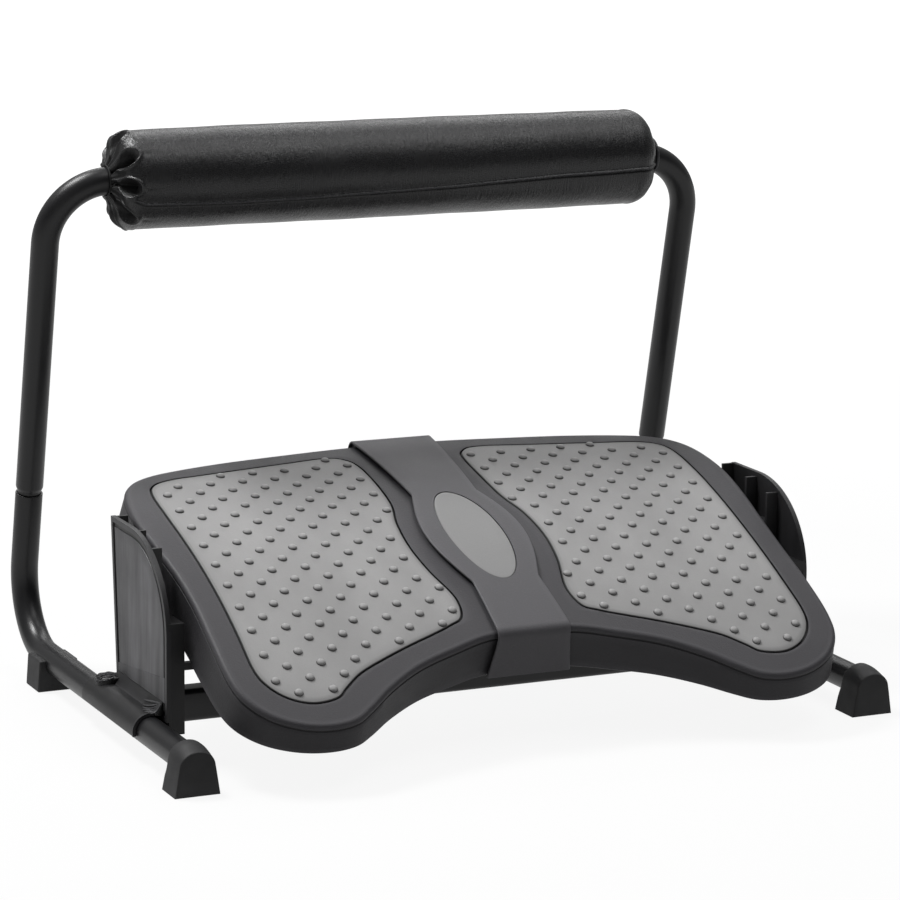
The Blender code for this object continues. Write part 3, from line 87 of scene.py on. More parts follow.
@dataclass
class Surface:
    """One or more closed bodies: points, faces grouped by their number of corners, and marks per point."""

    points: Array
    faces: list[Array]
    marks: dict[str, Array] = field(default_factory=dict)

    def outward(self) -> Surface:
        """Turns all faces round if the body's signed volume is negative.

        The volume is the sum over triangles of the corner a dotted with b cross c, over six.

        Returns:
            The same surface, its faces pointing outwards.
        """
        total = 0.0
        for rows in self.faces:
            first = self.points[rows[:, 0]]
            for i in range(1, rows.shape[1] - 1):
                across = np.cross(self.points[rows[:, i]], self.points[rows[:, i + 1]])
                total += float(np.einsum("ij,ij->", first, across))
        if total < 0:
            self.faces = [rows[:, ::-1] for rows in self.faces]
        return self

    def mirrored(self) -> Surface:
        """The twin across X = 0, its faces reversed so that they still point outwards."""
        return Surface(self.points * (-1, 1, 1), [rows[:, ::-1] for rows in self.faces], self.marks)

    def on(self, side: Side) -> Surface:
        """This right-hand surface, or its mirror image on the left."""
        return self if side is Side.RIGHT else self.mirrored()

    def marked(self, name: str, values: Array | float) -> Surface:
        """Gives each point a number that a finish reads by name."""
        self.marks[name] = np.broadcast_to(np.asarray(values, float), (len(self.points),)).copy()
        return self


def joined(*surfaces: Surface) -> Surface:
    """Several bodies as one surface.

    Args:
        surfaces: The bodies; a mark that one of them lacks is nought on it.

    Returns:
        Their points and faces in one list, with face numbers moved on by the points before them.
    """
    names = {name for surface in surfaces for name in surface.marks}
    faces, start = [], 0
    for surface in surfaces:
        faces += [rows + start for rows in surface.faces]
        start += len(surface.points)
    marks = {name: np.concatenate([s.marks.get(name, np.zeros(len(s.points))) for s in surfaces])
             for name in names}
    return Surface(np.concatenate([s.points for s in surfaces]), faces, marks)


def quads(rows: int, columns: int, wrap_rows: bool = False, wrap_columns: bool = True) -> Array:
    """Corner numbers of the quads of a grid whose point (i, j) is number i * columns + j.

    Args:
        rows: Number of rows.
        columns: Points in a row.
        wrap_rows: Whether the last row meets the first.
        wrap_columns: Whether each row closes on itself.

    Returns:
        One row of four point numbers per quad.
    """
    i = np.arange(rows if wrap_rows else rows - 1)[:, None]
    j = np.arange(columns if wrap_columns else columns - 1)[None, :]
    below, beside = (i + 1) % rows, (j + 1) % columns
    corners = (i * columns + j, i * columns + beside, below * columns + beside, below * columns + j)
    return np.stack(corners, axis=-1).reshape(-1, 4)


def body(rings: Array, wrap: bool = False, first: Array | None = None,
         last: Array | None = None) -> Surface:
    """A closed surface through a stack of rings.

    Args:
        rings: Array of rings by points by 3.
        wrap: Whether the last ring meets the first, as on a tube with a wall.
        first: A point that closes the first end with a fan; without it one flat face does.
        last: The same for the last end.

    Returns:
        The surface, pointing outwards.
    """
    rings = np.asarray(rings, float)
    count, around = rings.shape[:2]
    points, faces = rings.reshape(-1, 3), [quads(count, around, wrap)]
    if not wrap:
        ends = ((first, np.arange(around)[::-1]), (last, (count - 1) * around + np.arange(around)))
        for centre, loop in ends:
            if centre is None:
                faces.append(loop[None, :])
                continue
            tip = np.full(around, len(points))
            points = np.vstack([points, np.asarray(centre, float)[None, :]])
            faces.append(np.stack([loop, np.roll(loop, -1), tip], axis=1))
    return Surface(points, faces).outward()


def prism(outline: Array, axis: Axis, low: float, high: float) -> Surface:
    """A flat outline carried straight along an axis.

    Args:
        outline: Points in the other two axes, in their XYZ order.
        axis: The axis it is carried along.
        low: Where it starts.
        high: Where it ends.

    Returns:
        The closed solid.
    """
    rings = [np.insert(np.asarray(outline, float), axis.value, place, axis=1) for place in (low, high)]
    return body(np.stack(rings))


def block(low: Triple, high: Triple) -> Surface:
    """A rectangular solid between two corners."""
    outline = [(low[1], low[2]), (high[1], low[2]), (high[1], high[2]), (low[1], high[2])]
    return prism(np.array(outline), Axis.X, low[0], high[0])


def between(first: Array, last: Array, share: Array | float) -> Array:
    """The point or points at a share of the way from one place to another."""
    return np.asarray(first) + (np.asarray(last) - first) * share


def bell(value: Array, middle: Array | float, width: float) -> Array:
    """A bell curve of height 1: exp(-((value - middle) / width)^2)."""
    return np.exp(-((value - middle) / width) ** 2)


def rising(value: Array, start: float, length: float) -> Array:
    """Nought up to start, then evenly up to 1 over a length."""
    return np.clip((value - start) / length, 0.0, 1.0)


def even_turns(sides: int) -> Array:
    """Angles of evenly spaced points round a circle."""
    return np.arange(sides) * (TURN / sides)


def spokes(turns: Array, across: Array, along: Array) -> Array:
    """Unit spokes cos a * across + sin a * along, a row of them for each pair of directions."""
    return (np.cos(turns)[:, None] * np.asarray(across)[..., None, :]
            + np.sin(turns)[:, None] * np.asarray(along)[..., None, :])


def ring_frame(axis: Array) -> tuple[Array, Array]:
    """Two unit vectors square to an axis and to each other."""
    across = np.cross(axis, UP if abs(axis[2]) < 0.9 else ACROSS)
    across /= np.linalg.norm(across)
    return across, np.cross(axis, across)


def turned(start: Array, axis: Array, profile: Array, sides: int = 48, wrap: bool = False) -> Surface:
    """A turned solid: at each turn a, a profile point is start + axis * run + radius * (cos a, sin a).

    Args:
        start: The place where the run is nought.
        axis: The direction of the run.
        profile: Rows of (run, radius).
        sides: Points round the axis.
        wrap: Whether the profile closes on itself, as on a sleeve.

    Returns:
        The closed solid.
    """
    axis = np.asarray(axis, float) / np.linalg.norm(axis)
    profile = np.asarray(profile, float)
    return body(start + profile[:, 0, None, None] * axis
                + profile[:, 1, None, None] * spokes(even_turns(sides), *ring_frame(axis)), wrap)


def rounded_path(corners: Array, radius: float, steps: int) -> Array:
    """A polyline whose inner corners are arcs.

    An arc point is the centre plus the first and last spokes weighted by the sines of what is left of
    the sweep and what is done of it, over the sine of the sweep.

    Args:
        corners: The polyline's corners.
        radius: Radius of each arc.
        steps: Stretches in each arc.

    Returns:
        The path's points.
    """
    path = [corners[:1]]
    for before, corner, after in zip(corners, corners[1:], corners[2:]):
        back = (before - corner) / np.linalg.norm(before - corner)
        onward = (after - corner) / np.linalg.norm(after - corner)
        opening = math.acos(float(back @ onward))
        middle = (back + onward) / np.linalg.norm(back + onward)
        centre = corner + middle * (radius / math.sin(opening / 2))
        reach = radius / math.tan(opening / 2)
        first, last = corner + back * reach - centre, corner + onward * reach - centre
        sweep, share = math.pi - opening, np.linspace(0.0, 1.0, steps + 1)[:, None]
        path.append(centre + (first * np.sin((1 - share) * sweep) + last * np.sin(share * sweep))
                    / math.sin(sweep))
    return np.concatenate(path + [corners[-1:]])


def pipe(path: Array, outer: Array, inner: Array, normal: Array, sides: int = 48) -> Surface:
    """A tube with a wall along a path that stays in the plane square to normal.

    Ring i holds path(i) + radius(i) * (cos a * across + sin a * normal), where across is normal cross
    the direction from the point before to the point after.

    Args:
        path: The centre line's points.
        outer: Outer radius at each of them.
        inner: Inner radius at each of them.
        normal: Unit vector square to the path's plane.
        sides: Points round the tube.

    Returns:
        The closed solid.
    """
    ahead = np.vstack([path[1:], path[-1:]]) - np.vstack([path[:1], path[:-1]])
    across = np.cross(normal, ahead)
    across /= np.linalg.norm(across, axis=1, keepdims=True)
    ring = spokes(even_turns(sides), across, normal)
    outside, inside = (path[:, None, :] + radius[:, None, None] * ring for radius in (outer, inner))
    return body(np.concatenate([outside, inside[::-1]]), wrap=True)


def spindle(path: Array, width: float, sides: int = 10) -> Surface:
    """A thin ridge along a path, fattest in the middle and closed to a point at both ends.

    The radius at share s of the path is width * sqrt(sin(pi s)).

    Args:
        path: The ridge's centre line.
        width: Its largest radius.
        sides: Points round it.

    Returns:
        The closed ridge.
    """
    ahead = np.gradient(path, axis=0)
    ahead /= np.linalg.norm(ahead, axis=1, keepdims=True)
    across = np.cross(ahead, UP)
    across /= np.linalg.norm(across, axis=1, keepdims=True)
    ring = spokes(even_turns(sides), across, np.cross(across, ahead))[1:-1]
    radius = width * np.sqrt(np.sin(np.linspace(0.0, math.pi, len(path)))[1:-1])[:, None, None]
    return body(path[1:-1, None, :] + radius * ring, first=path[0], last=path[-1])


def grown(outline: Array, distance: float) -> Array:
    """A closed outline moved outwards by a distance.

    Each point moves by distance * (n1 + n2) / (1 + n1 . n2), with n1 and n2 the outward normals of the
    two stretches that meet there, so that straight stretches stay parallel to themselves.

    Args:
        outline: Points of an anticlockwise outline.
        distance: How far it moves; negative is inwards.

    Returns:
        As many points.
    """
    ahead = np.roll(outline, -1, axis=0) - outline
    normal = np.stack([ahead[:, 1], -ahead[:, 0]], axis=1)
    normal /= np.maximum(np.linalg.norm(normal, axis=1, keepdims=True), 1e-12)
    before = np.roll(normal, 1, axis=0)
    spread = 1 + np.sum(normal * before, axis=1, keepdims=True)
    return outline + distance * (normal + before) / np.maximum(spread, 0.35)


def anticlockwise(outline: Array) -> Array:
    """The outline in the order that has its inside on the left."""
    ahead = np.roll(outline, -1, axis=0)
    area = float(np.sum(outline[:, 0] * ahead[:, 1] - ahead[:, 0] * outline[:, 1]))
    return outline if area > 0 else outline[::-1]


# ---- pieces in the scene


@dataclass(frozen=True)
class Edges:
    """Rounding that a Bevel gives to a piece's sharp edges."""

    width: float = 0.0006
    segments: int = 2
    angle: float = SHARP

    def soften(self, piece: Piece) -> None:
        """Adds the Bevel to a piece."""
        step = piece.modifiers.new("soft edges", "BEVEL")
        step.width, step.segments = self.width, self.segments
        step.limit_method, step.angle_limit = "ANGLE", self.angle
        step.harden_normals = True


def linked(name: str, data: bpy.types.ID) -> Piece:
    """A new object that shows some data, in the scene."""
    made = bpy.data.objects.new(name, data)
    bpy.context.scene.collection.objects.link(made)
    return made


def to_object(name: str, surface: Surface, sharp: float = SHARP) -> Piece:
    """A surface as a mesh object at the origin.

    Args:
        name: The object's name.
        surface: Points, faces and marks.
        sharp: Edges that bend more than this stay sharp in the shading.

    Returns:
        The object, linked to the scene.
    """
    mesh = bpy.data.meshes.new(name)
    mesh.from_pydata(surface.points.tolist(), [],
                     [row for rows in surface.faces for row in rows.tolist()])
    for mark, values in surface.marks.items():
        mesh.attributes.new(mark, "FLOAT", "POINT").data.foreach_set("value", values.astype(np.float32))
    mesh.shade_smooth()
    mesh.set_sharp_from_angle(angle=sharp)
    return linked(name, mesh)


def bake(piece: Piece) -> None:
    """Turns a piece's modifiers into its mesh."""
    bpy.context.view_layer.update()
    graph = bpy.context.evaluated_depsgraph_get()
    mesh = bpy.data.meshes.new_from_object(piece.evaluated_get(graph))
    piece.modifiers.clear()
    piece.data = mesh


def vertex_places(piece: Piece) -> Array:
    """The places of a mesh's vertices."""
    places = np.empty(3 * len(piece.data.vertices))
    piece.data.vertices.foreach_get("co", places)
    return places.reshape(-1, 3)


def dress(piece: Piece, finish: Material, carrier: str, slot: str, *nodes: str,
          edges: Edges | None = None) -> None:
    """Gives a piece its finish and its place in the frame.

    Args:
        piece: The finished mesh.
        finish: Its material.
        carrier: The CAD body that it rides on.
        slot: The record's material slot; not used.
        nodes: The CAD nodes that it stands for.
        edges: Rounding of its sharp edges, if any.
    """
    piece.data.materials.clear()
    piece.data.materials.append(finish)
    if edges:
        edges.soften(piece)
    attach(piece, carrier)
    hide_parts(*nodes)
    LOG.info("%s: %d faces on %s, for %s", piece.name, len(piece.data.polygons), carrier, ", ".join(nodes))


def dress_pair(name: str, surface: Surface, finish: Material, carrier: str, slot: str, node: str,
               edges: Edges | None = None) -> None:
    """Makes and dresses the left and the right piece of a mirrored pair, given the right one's surface."""
    for side in Side:
        dress(to_object(f"{side.label}_{name}", surface.on(side)), finish, carrier, slot,
              f"{side.label}_{node}", edges=edges)


# ---- finishes


class Nodes:
    """A node tree with short calls to add and join nodes."""

    def __init__(self, tree: bpy.types.NodeTree) -> None:
        """Empties the tree."""
        self.tree = tree
        tree.nodes.clear()

    def add(self, kind: str, **settings: object) -> bpy.types.Node:
        """Adds a node and sets its properties."""
        node = self.tree.nodes.new(kind)
        for key, value in settings.items():
            setattr(node, key, value)
        return node

    def feed(self, socket: Socket, value: object) -> None:
        """Links a socket to another, or sets it to a number or colour."""
        if isinstance(value, Socket):
            self.tree.links.new(value, socket)
        elif isinstance(value, tuple) and len(value) == 3 and socket.type == "RGBA":
            socket.default_value = (*value, 1.0)
        else:
            socket.default_value = value

    def ramp(self, value: Socket, low: float, high: float, start: float = 0.0,
             end: float = 1.0) -> Socket:
        """Maps a value from start..end to low..high and clamps it there."""
        node = self.add("ShaderNodeMapRange")
        for name, number in (("Value", value), ("From Min", start), ("From Max", end),
                             ("To Min", low), ("To Max", high)):
            self.feed(node.inputs[name], number)
        return node.outputs[0]

    def sum(self, operation: str, first: object, second: object) -> Socket:
        """One step of arithmetic on two values."""
        node = self.add("ShaderNodeMath", operation=operation)
        self.feed(node.inputs[0], first)
        self.feed(node.inputs[1], second)
        return node.outputs[0]

    def end(self, kind: str, share: Socket, first: bpy.types.Node, second: bpy.types.Node) -> None:
        """Ends the tree in an output that shows a mix of two shaders, by share."""
        mix = self.add("ShaderNodeMixShader")
        for socket, value in zip(mix.inputs, (share, first.outputs[0], second.outputs[0])):
            self.feed(socket, value)
        self.feed(self.add(kind).inputs[0], mix.outputs[0])


class NodeSheet(Nodes):
    """A material's node tree round a Principled shader, in Object coordinates."""

    def __init__(self, name: str) -> None:
        """Starts the tree with the shader, an output and the coordinates."""
        self.material = bpy.data.materials.new(name)
        self.material.use_nodes = True
        super().__init__(self.material.node_tree)
        self.shader = self.add("ShaderNodeBsdfPrincipled")
        self.feed(self.add("ShaderNodeOutputMaterial").inputs[0], self.shader.outputs[0])
        self.place = self.add("ShaderNodeTexCoord").outputs["Object"]

    def stretched(self, scale: Triple, turn: Triple = (0, 0, 0)) -> Socket:
        """Object coordinates turned, then scaled along each axis."""
        node = self.add("ShaderNodeMapping")
        self.feed(node.inputs["Vector"], self.place)
        node.inputs["Scale"].default_value = scale
        node.inputs["Rotation"].default_value = turn
        return node.outputs[0]

    def noise(self, size: float, detail: float = 2.0, where: Socket | None = None,
              rough: float = 0.5) -> Socket:
        """Noise from 0 to 1 whose lumps are about size metres wide."""
        node = self.add("ShaderNodeTexNoise")
        self.feed(node.inputs["Vector"], where or self.place)
        node.inputs["Scale"].default_value = 1 / size
        node.inputs["Detail"].default_value = detail
        node.inputs["Roughness"].default_value = rough
        return node.outputs["Fac"]

    def cells(self, size: float, feature: str = "SMOOTH_F1") -> Socket:
        """Distance to the nearest point, or cell edge, of a scatter about size metres apart."""
        node = self.add("ShaderNodeTexVoronoi", feature=feature)
        self.feed(node.inputs["Vector"], self.place)
        node.inputs["Scale"].default_value = 1 / size
        return node.outputs["Distance"]

    def mark(self, name: str) -> Socket:
        """The number that the mesh gives each point by that name."""
        return self.add("ShaderNodeAttribute", attribute_name=name).outputs["Fac"]

    def mixed(self, share: object, first: object, second: object) -> Socket:
        """A colour between two, by share."""
        node = self.add("ShaderNodeMix", data_type="RGBA")
        self.feed(node.inputs[0], share)
        self.feed(node.inputs[6], first)
        self.feed(node.inputs[7], second)
        return node.outputs[2]

    def relief(self, height: Socket, depth: float, below: Socket | None = None) -> Socket:
        """A Bump whose height of 1 stands depth metres proud, over another relief if given."""
        node = self.add("ShaderNodeBump")
        self.feed(node.inputs["Height"], height)
        node.inputs["Distance"].default_value = depth
        if below is not None:
            self.feed(node.inputs["Normal"], below)
        return node.outputs[0]

    def finish(self, colour: object, roughness: object, normal: object = None, **plain: float
               ) -> Material:
        """Sets the shader: colour, roughness and normal may be sockets, the rest are plain numbers."""
        self.feed(self.shader.inputs["Base Color"], colour)
        self.feed(self.shader.inputs["Roughness"], roughness)
        if normal is not None:
            self.feed(self.shader.inputs["Normal"], normal)
        for name, number in plain.items():
            self.shader.inputs[name.replace("_", " ")].default_value = number
        return self.material


@dataclass(frozen=True)
class Finish:
    """What all finishes share: their colour."""

    colour: Colour

    def tone(self, factor: float) -> Colour:
        """The colour made darker or lighter by a factor."""
        return tuple(min(channel * factor, 1.0) for channel in self.colour)


@dataclass(frozen=True)
class PowderCoat(Finish):
    """Satin black powder coat: fine orange peel, faint cloudy sheen."""

    colour: Colour = (0.0088, 0.0088, 0.0098)
    roughness: float = 0.36
    peel_size: float = 0.0011
    peel_depth: float = 0.00003

    def material(self, name: str) -> Material:
        """Builds the node material."""
        sheet = NodeSheet(name)
        cloud = sheet.noise(0.03, 3)
        fine = sheet.noise(self.peel_size, 2)
        speck = sheet.noise(0.0003, 1)
        colour = sheet.mixed(cloud, self.tone(0.8), self.tone(1.3))
        rough = sheet.ramp(sheet.sum("ADD", cloud, speck), self.roughness - 0.05, self.roughness + 0.07,
                           0.6, 1.4)
        return sheet.finish(colour, rough, sheet.relief(fine, self.peel_depth), Specular_IOR_Level=0.36)


@dataclass(frozen=True)
class MouldedPlastic(Finish):
    """Moulded plastic with a fine spark-eroded grain and cloudy tone, a painted highlight where its edge mark
    is above nought, painted shade where it is below, and painted sheen in upright streaks where it is marked
    a panel."""

    colour: Colour
    roughness: float = 0.5
    grain_size: float = 0.0007
    grain_depth: float = 0.00006
    streak: float = 0.0
    painted_highlight_gain: float = 1.25
    specular: float = 0.5

    def material(self, name: str) -> Material:
        """Builds the node material."""
        sheet = NodeSheet(name)
        cloud = sheet.noise(0.045, 4, rough=0.6)
        grain = sheet.noise(self.grain_size, 2.5, rough=0.6)
        pits = sheet.cells(self.grain_size * 1.6)
        colour = sheet.mixed(cloud, self.tone(0.88), self.tone(1.12))
        colour = sheet.mixed(sheet.ramp(grain, 0.0, 0.35, 0.45, 0.7), colour, self.tone(1.3))
        # Painted sheen: upright streaks lightened on the panel, standing in for glossy reflections.
        if self.streak:
            sheen_streak_noise = sheet.noise(0.011, 3, sheet.stretched((1.0, 1.0, 0.09)))
            panel = sheet.ramp(sheet.mark("panel"), 0.05, 1.0)
            gain = sheet.sum("MULTIPLY", panel, sheet.ramp(sheen_streak_noise, 0.25 * self.streak, self.streak, 0.36, 0.64))
            colour = sheet.mixed(gain, colour, self.tone(11.0))
        # Painted highlight where the edge mark is above nought, painted shade where it is below.
        painted_highlight = sheet.sum("MULTIPLY", sheet.mark("edge"), sheet.ramp(cloud, 0.35, 1.0, 0.3, 0.7))
        colour = sheet.mixed(painted_highlight, colour, self.tone(self.painted_highlight_gain))
        painted_shade = sheet.ramp(sheet.mark("edge"), 1.0, 0.0, -1.0, 0.0)
        colour = sheet.mixed(painted_shade, colour, self.tone(0.12))
        rough = sheet.ramp(cloud, self.roughness - 0.05, self.roughness + 0.06, 0.3, 0.7)
        height = sheet.sum("ADD", grain, sheet.sum("MULTIPLY", pits, 0.6))
        return sheet.finish(colour, rough, sheet.relief(height, self.grain_depth),
                            Specular_IOR_Level=self.specular)


@dataclass(frozen=True)
class PadRubber(Finish):
    """Mid grey pad rubber: very fine texture, soft diagonal clouds, painted shade round the bumps' feet and
    along the pad's edge, a painted highlight on the bumps' tops.
    """

    colour: Colour = (0.298, 0.295, 0.294)
    roughness: float = 0.55

    def material(self, name: str) -> Material:
        """Builds the node material."""
        sheet = NodeSheet(name)
        slant = sheet.stretched((1.0, 0.35, 1.0), (0.0, 0.0, math.radians(38)))
        cloud = sheet.noise(0.05, 3, slant)
        fine = sheet.noise(0.0005, 2)
        weave = sheet.noise(0.0016, 2)
        colour = sheet.mixed(sheet.ramp(cloud, 0.0, 1.0, 0.3, 0.7), self.tone(0.88), self.tone(1.1))
        colour = sheet.mixed(sheet.ramp(fine, 0.0, 0.4, 0.4, 0.75), colour, self.tone(0.8))
        # Painted shade where the bump mark is above nought, a painted highlight where it is below.
        colour = sheet.mixed(sheet.mark("bump"), colour, self.tone(0.26))
        colour = sheet.mixed(sheet.ramp(sheet.mark("bump"), 1.0, 0.0, -0.6, 0.0), colour, self.tone(1.06))
        rough = sheet.ramp(cloud, self.roughness - 0.04, self.roughness + 0.06, 0.3, 0.7)
        height = sheet.sum("ADD", fine, weave)
        return sheet.finish(colour, rough, sheet.relief(height, 0.00005), Specular_IOR_Level=0.4)


@dataclass(frozen=True)
class FootRubber(Finish):
    """Dark matt rubber of the feet, lighter in patches towards the floor."""

    colour: Colour = (0.021, 0.021, 0.022)

    def material(self, name: str) -> Material:
        """Builds the node material."""
        sheet = NodeSheet(name)
        split = sheet.add("ShaderNodeSeparateXYZ")
        sheet.feed(split.inputs[0], sheet.place)
        cloud = sheet.noise(0.012, 4)
        fine = sheet.noise(0.0006, 2)
        low = sheet.sum("MULTIPLY", sheet.ramp(split.outputs["Z"], 1.0, 0.0, 0.0, 0.012), cloud)
        colour = sheet.mixed(cloud, self.tone(0.8), self.tone(1.2))
        colour = sheet.mixed(low, colour, self.tone(2.2))
        return sheet.finish(colour, sheet.ramp(cloud, 0.6, 0.72, 0.3, 0.7),
                            sheet.relief(fine, 0.00005), Specular_IOR_Level=0.4)


@dataclass(frozen=True)
class Leatherette(Finish):
    """Coated black cloth: small leather cells between fine creases; painted shade and a duller finish where
    it is marked deep, a painted highlight where that mark is below nought.
    """

    colour: Colour = (0.0080, 0.0080, 0.0089)
    roughness: float = 0.24
    cell_size: float = 0.0013

    def material(self, name: str) -> Material:
        """Builds the node material."""
        sheet = NodeSheet(name)
        drift = sheet.noise(0.004, 2)
        fold = sheet.noise(0.0011, 2, sheet.stretched((1.0, 0.16, 0.16)))
        cells = sheet.cells(self.cell_size, feature="DISTANCE_TO_EDGE")
        ridge = sheet.ramp(cells, 0.0, 1.0, 0.0, 0.16)
        soft = sheet.noise(0.009, 3)
        cloud = sheet.noise(0.05, 3)
        colour = sheet.mixed(ridge, self.tone(0.55), self.tone(1.1))
        colour = sheet.mixed(cloud, colour, self.tone(1.25))
        rough = sheet.sum("ADD", sheet.ramp(cloud, self.roughness - 0.04, self.roughness + 0.06, 0.3, 0.7),
                          sheet.ramp(ridge, 0.12, 0.0))
        rough = sheet.sum("ADD", rough, sheet.ramp(drift, -0.03, 0.03))
        # Painted shade where the deep mark is above nought, a painted highlight where it is below.
        deep = sheet.mark("deep")
        colour = sheet.mixed(deep, colour, self.tone(0.1))
        colour = sheet.mixed(sheet.ramp(deep, 1.0, 0.0, -1.0, 0.0), colour, self.tone(8.0))
        rough = sheet.sum("ADD", rough, sheet.ramp(deep, 0.0, 0.45))
        broad = sheet.relief(fold, 0.00048, below=sheet.relief(soft, 0.00035))
        return sheet.finish(colour, rough, sheet.relief(ridge, 0.00006, below=broad),
                            Specular_IOR_Level=0.4)


@dataclass(frozen=True)
class BrightSteel(Finish):
    """Zinc plated or drawn steel: faint brushing and cloudy plating."""

    colour: Colour = (0.50, 0.50, 0.515)
    roughness: float = 0.32

    def material(self, name: str) -> Material:
        """Builds the node material."""
        sheet = NodeSheet(name)
        brushed = sheet.noise(0.0006, 3, sheet.stretched((0.08, 1.0, 1.0)))
        cloud = sheet.noise(0.004, 3)
        colour = sheet.mixed(cloud, self.tone(0.78), self.tone(1.1))
        rough = sheet.ramp(sheet.sum("ADD", cloud, brushed), self.roughness - 0.07,
                           self.roughness + 0.12, 0.6, 1.4)
        return sheet.finish(colour, rough, sheet.relief(brushed, 0.00002), Metallic=1.0)


@dataclass
class Finishes:
    """One material for each of the record's slots that shows."""

    def __post_init__(self) -> None:
        """Builds every material."""
        self.tube = PowderCoat().material("satin black powder coat")
        # Painted highlight on marked edges: 1.5, 4.5 and 1.3 times the base colour; the tower also gets
        # painted sheen in upright streaks.
        self.shell = MouldedPlastic((0.052, 0.0503, 0.055), 0.54, 0.0010, 0.00014, painted_highlight_gain=1.5,
                                    specular=0.28).material("charcoal grained plastic")
        self.tower = MouldedPlastic((0.0135, 0.0134, 0.0143), 0.46, 0.0006, 0.00004, streak=1.0,
                                    painted_highlight_gain=4.5, specular=0.34).material("black plastic with painted sheen")
        self.cover = MouldedPlastic((0.088, 0.0855, 0.092), 0.52, 0.0010, 0.00012, painted_highlight_gain=1.3,
                                    specular=0.3).material("grey grained plastic")
        self.oval = MouldedPlastic((0.218, 0.217, 0.217), 0.5, 0.0006, 0.00003
                                   ).material("plain grey plastic")
        self.pad = PadRubber().material("grey pad rubber")
        self.foot = FootRubber().material("black foot rubber")
        self.leather = Leatherette().material("black leatherette")
        self.zinc = BrightSteel((0.45, 0.45, 0.47), 0.36).material("zinc plated steel")
        self.steel = BrightSteel().material("drawn steel")


# ---- frame of tubes


@dataclass
class TubeFrame:
    """Lower side tubes and the upper bar that plugs into them."""

    rail_x: float = 0.282
    radius: float = 0.011
    wall: float = 0.0012
    rail_height: float = 0.0225
    rail_front: float = -0.1856
    upright_foot: float = 0.2240
    lean: float = math.radians(12.6)
    lower_bend: float = 0.055
    upper_bend: float = 0.050
    bar_height: float = 0.4043
    joint_height: float = 0.1475
    shadow_gap: float = 0.0012
    swage_length: float = 0.040
    swage_taper: float = 0.005
    swage_play: float = 0.0003
    lip: float = 0.0006
    bend_steps: int = 26

    @property
    def up(self) -> Array:
        """Direction of the right upright, leaning towards the user."""
        return np.array((0.0, -math.sin(self.lean), math.cos(self.lean)))

    def upright(self, height: float) -> Array:
        """The right upright's centre line at a height."""
        return np.array((self.rail_x, self.upright_foot - math.tan(self.lean) * height, height))

    def lower_tube(self) -> Surface:
        """The right rail, bent up into the upright, with its open end rolled in at the joint.

        Returns:
            The tube's surface.
        """
        joint = self.upright(self.joint_height)
        corners = np.array([(self.rail_x, self.rail_front, self.rail_height),
                            self.upright(self.rail_height), joint])
        path = rounded_path(corners, self.lower_bend, self.bend_steps)
        turn = np.linspace(0.0, math.pi / 2, 4)
        end = joint - self.up * self.lip + self.up * (self.lip * np.sin(turn))[:, None]
        path = np.vstack([path[:-1], end])
        outer = np.full(len(path), self.radius)
        outer[-4:] -= self.lip * (1 - np.cos(turn))
        return pipe(path, outer, np.full(len(path), self.radius - self.wall), ACROSS)

    def upper_bar(self) -> Surface:
        """The bar over both uprights, swaged at both ends where it enters the lower tubes.

        Returns:
            The tube's surface.
        """
        joint = self.upright(self.joint_height)
        neck = joint + self.up * self.shadow_gap
        full, end = neck + self.up * self.swage_taper, joint - self.up * self.swage_length
        top, flip = self.upright(self.bar_height), np.array((-1, 1, 1))
        route = rounded_path(np.array([full, top, top * flip, full * flip]), self.upper_bend,
                             self.bend_steps)
        ease = np.linspace(0.0, 1.0, 6)[:-1]
        taper = between(neck, full, ease[:, None])
        swage = self.radius - self.wall - self.swage_play
        swell = swage + (self.radius - swage) * (3 * ease ** 2 - 2 * ease ** 3)
        path = np.vstack([end, taper, route, (taper * flip)[::-1], end * flip])
        outer = np.concatenate([[swage], swell, np.full(len(route), self.radius), swell[::-1], [swage]])
        return pipe(path, outer, outer - self.wall, np.cross(self.up, ACROSS))

    def build(self, finishes: Finishes) -> None:
        """Makes both rails and the bar."""
        dress_pair("rail_tube", self.lower_tube(), finishes.tube, "frame", "black_tube", "side_tube")
        dress(to_object("bar_tube", self.upper_bar()), finishes.tube, "frame", "black_tube", "upper_bar")


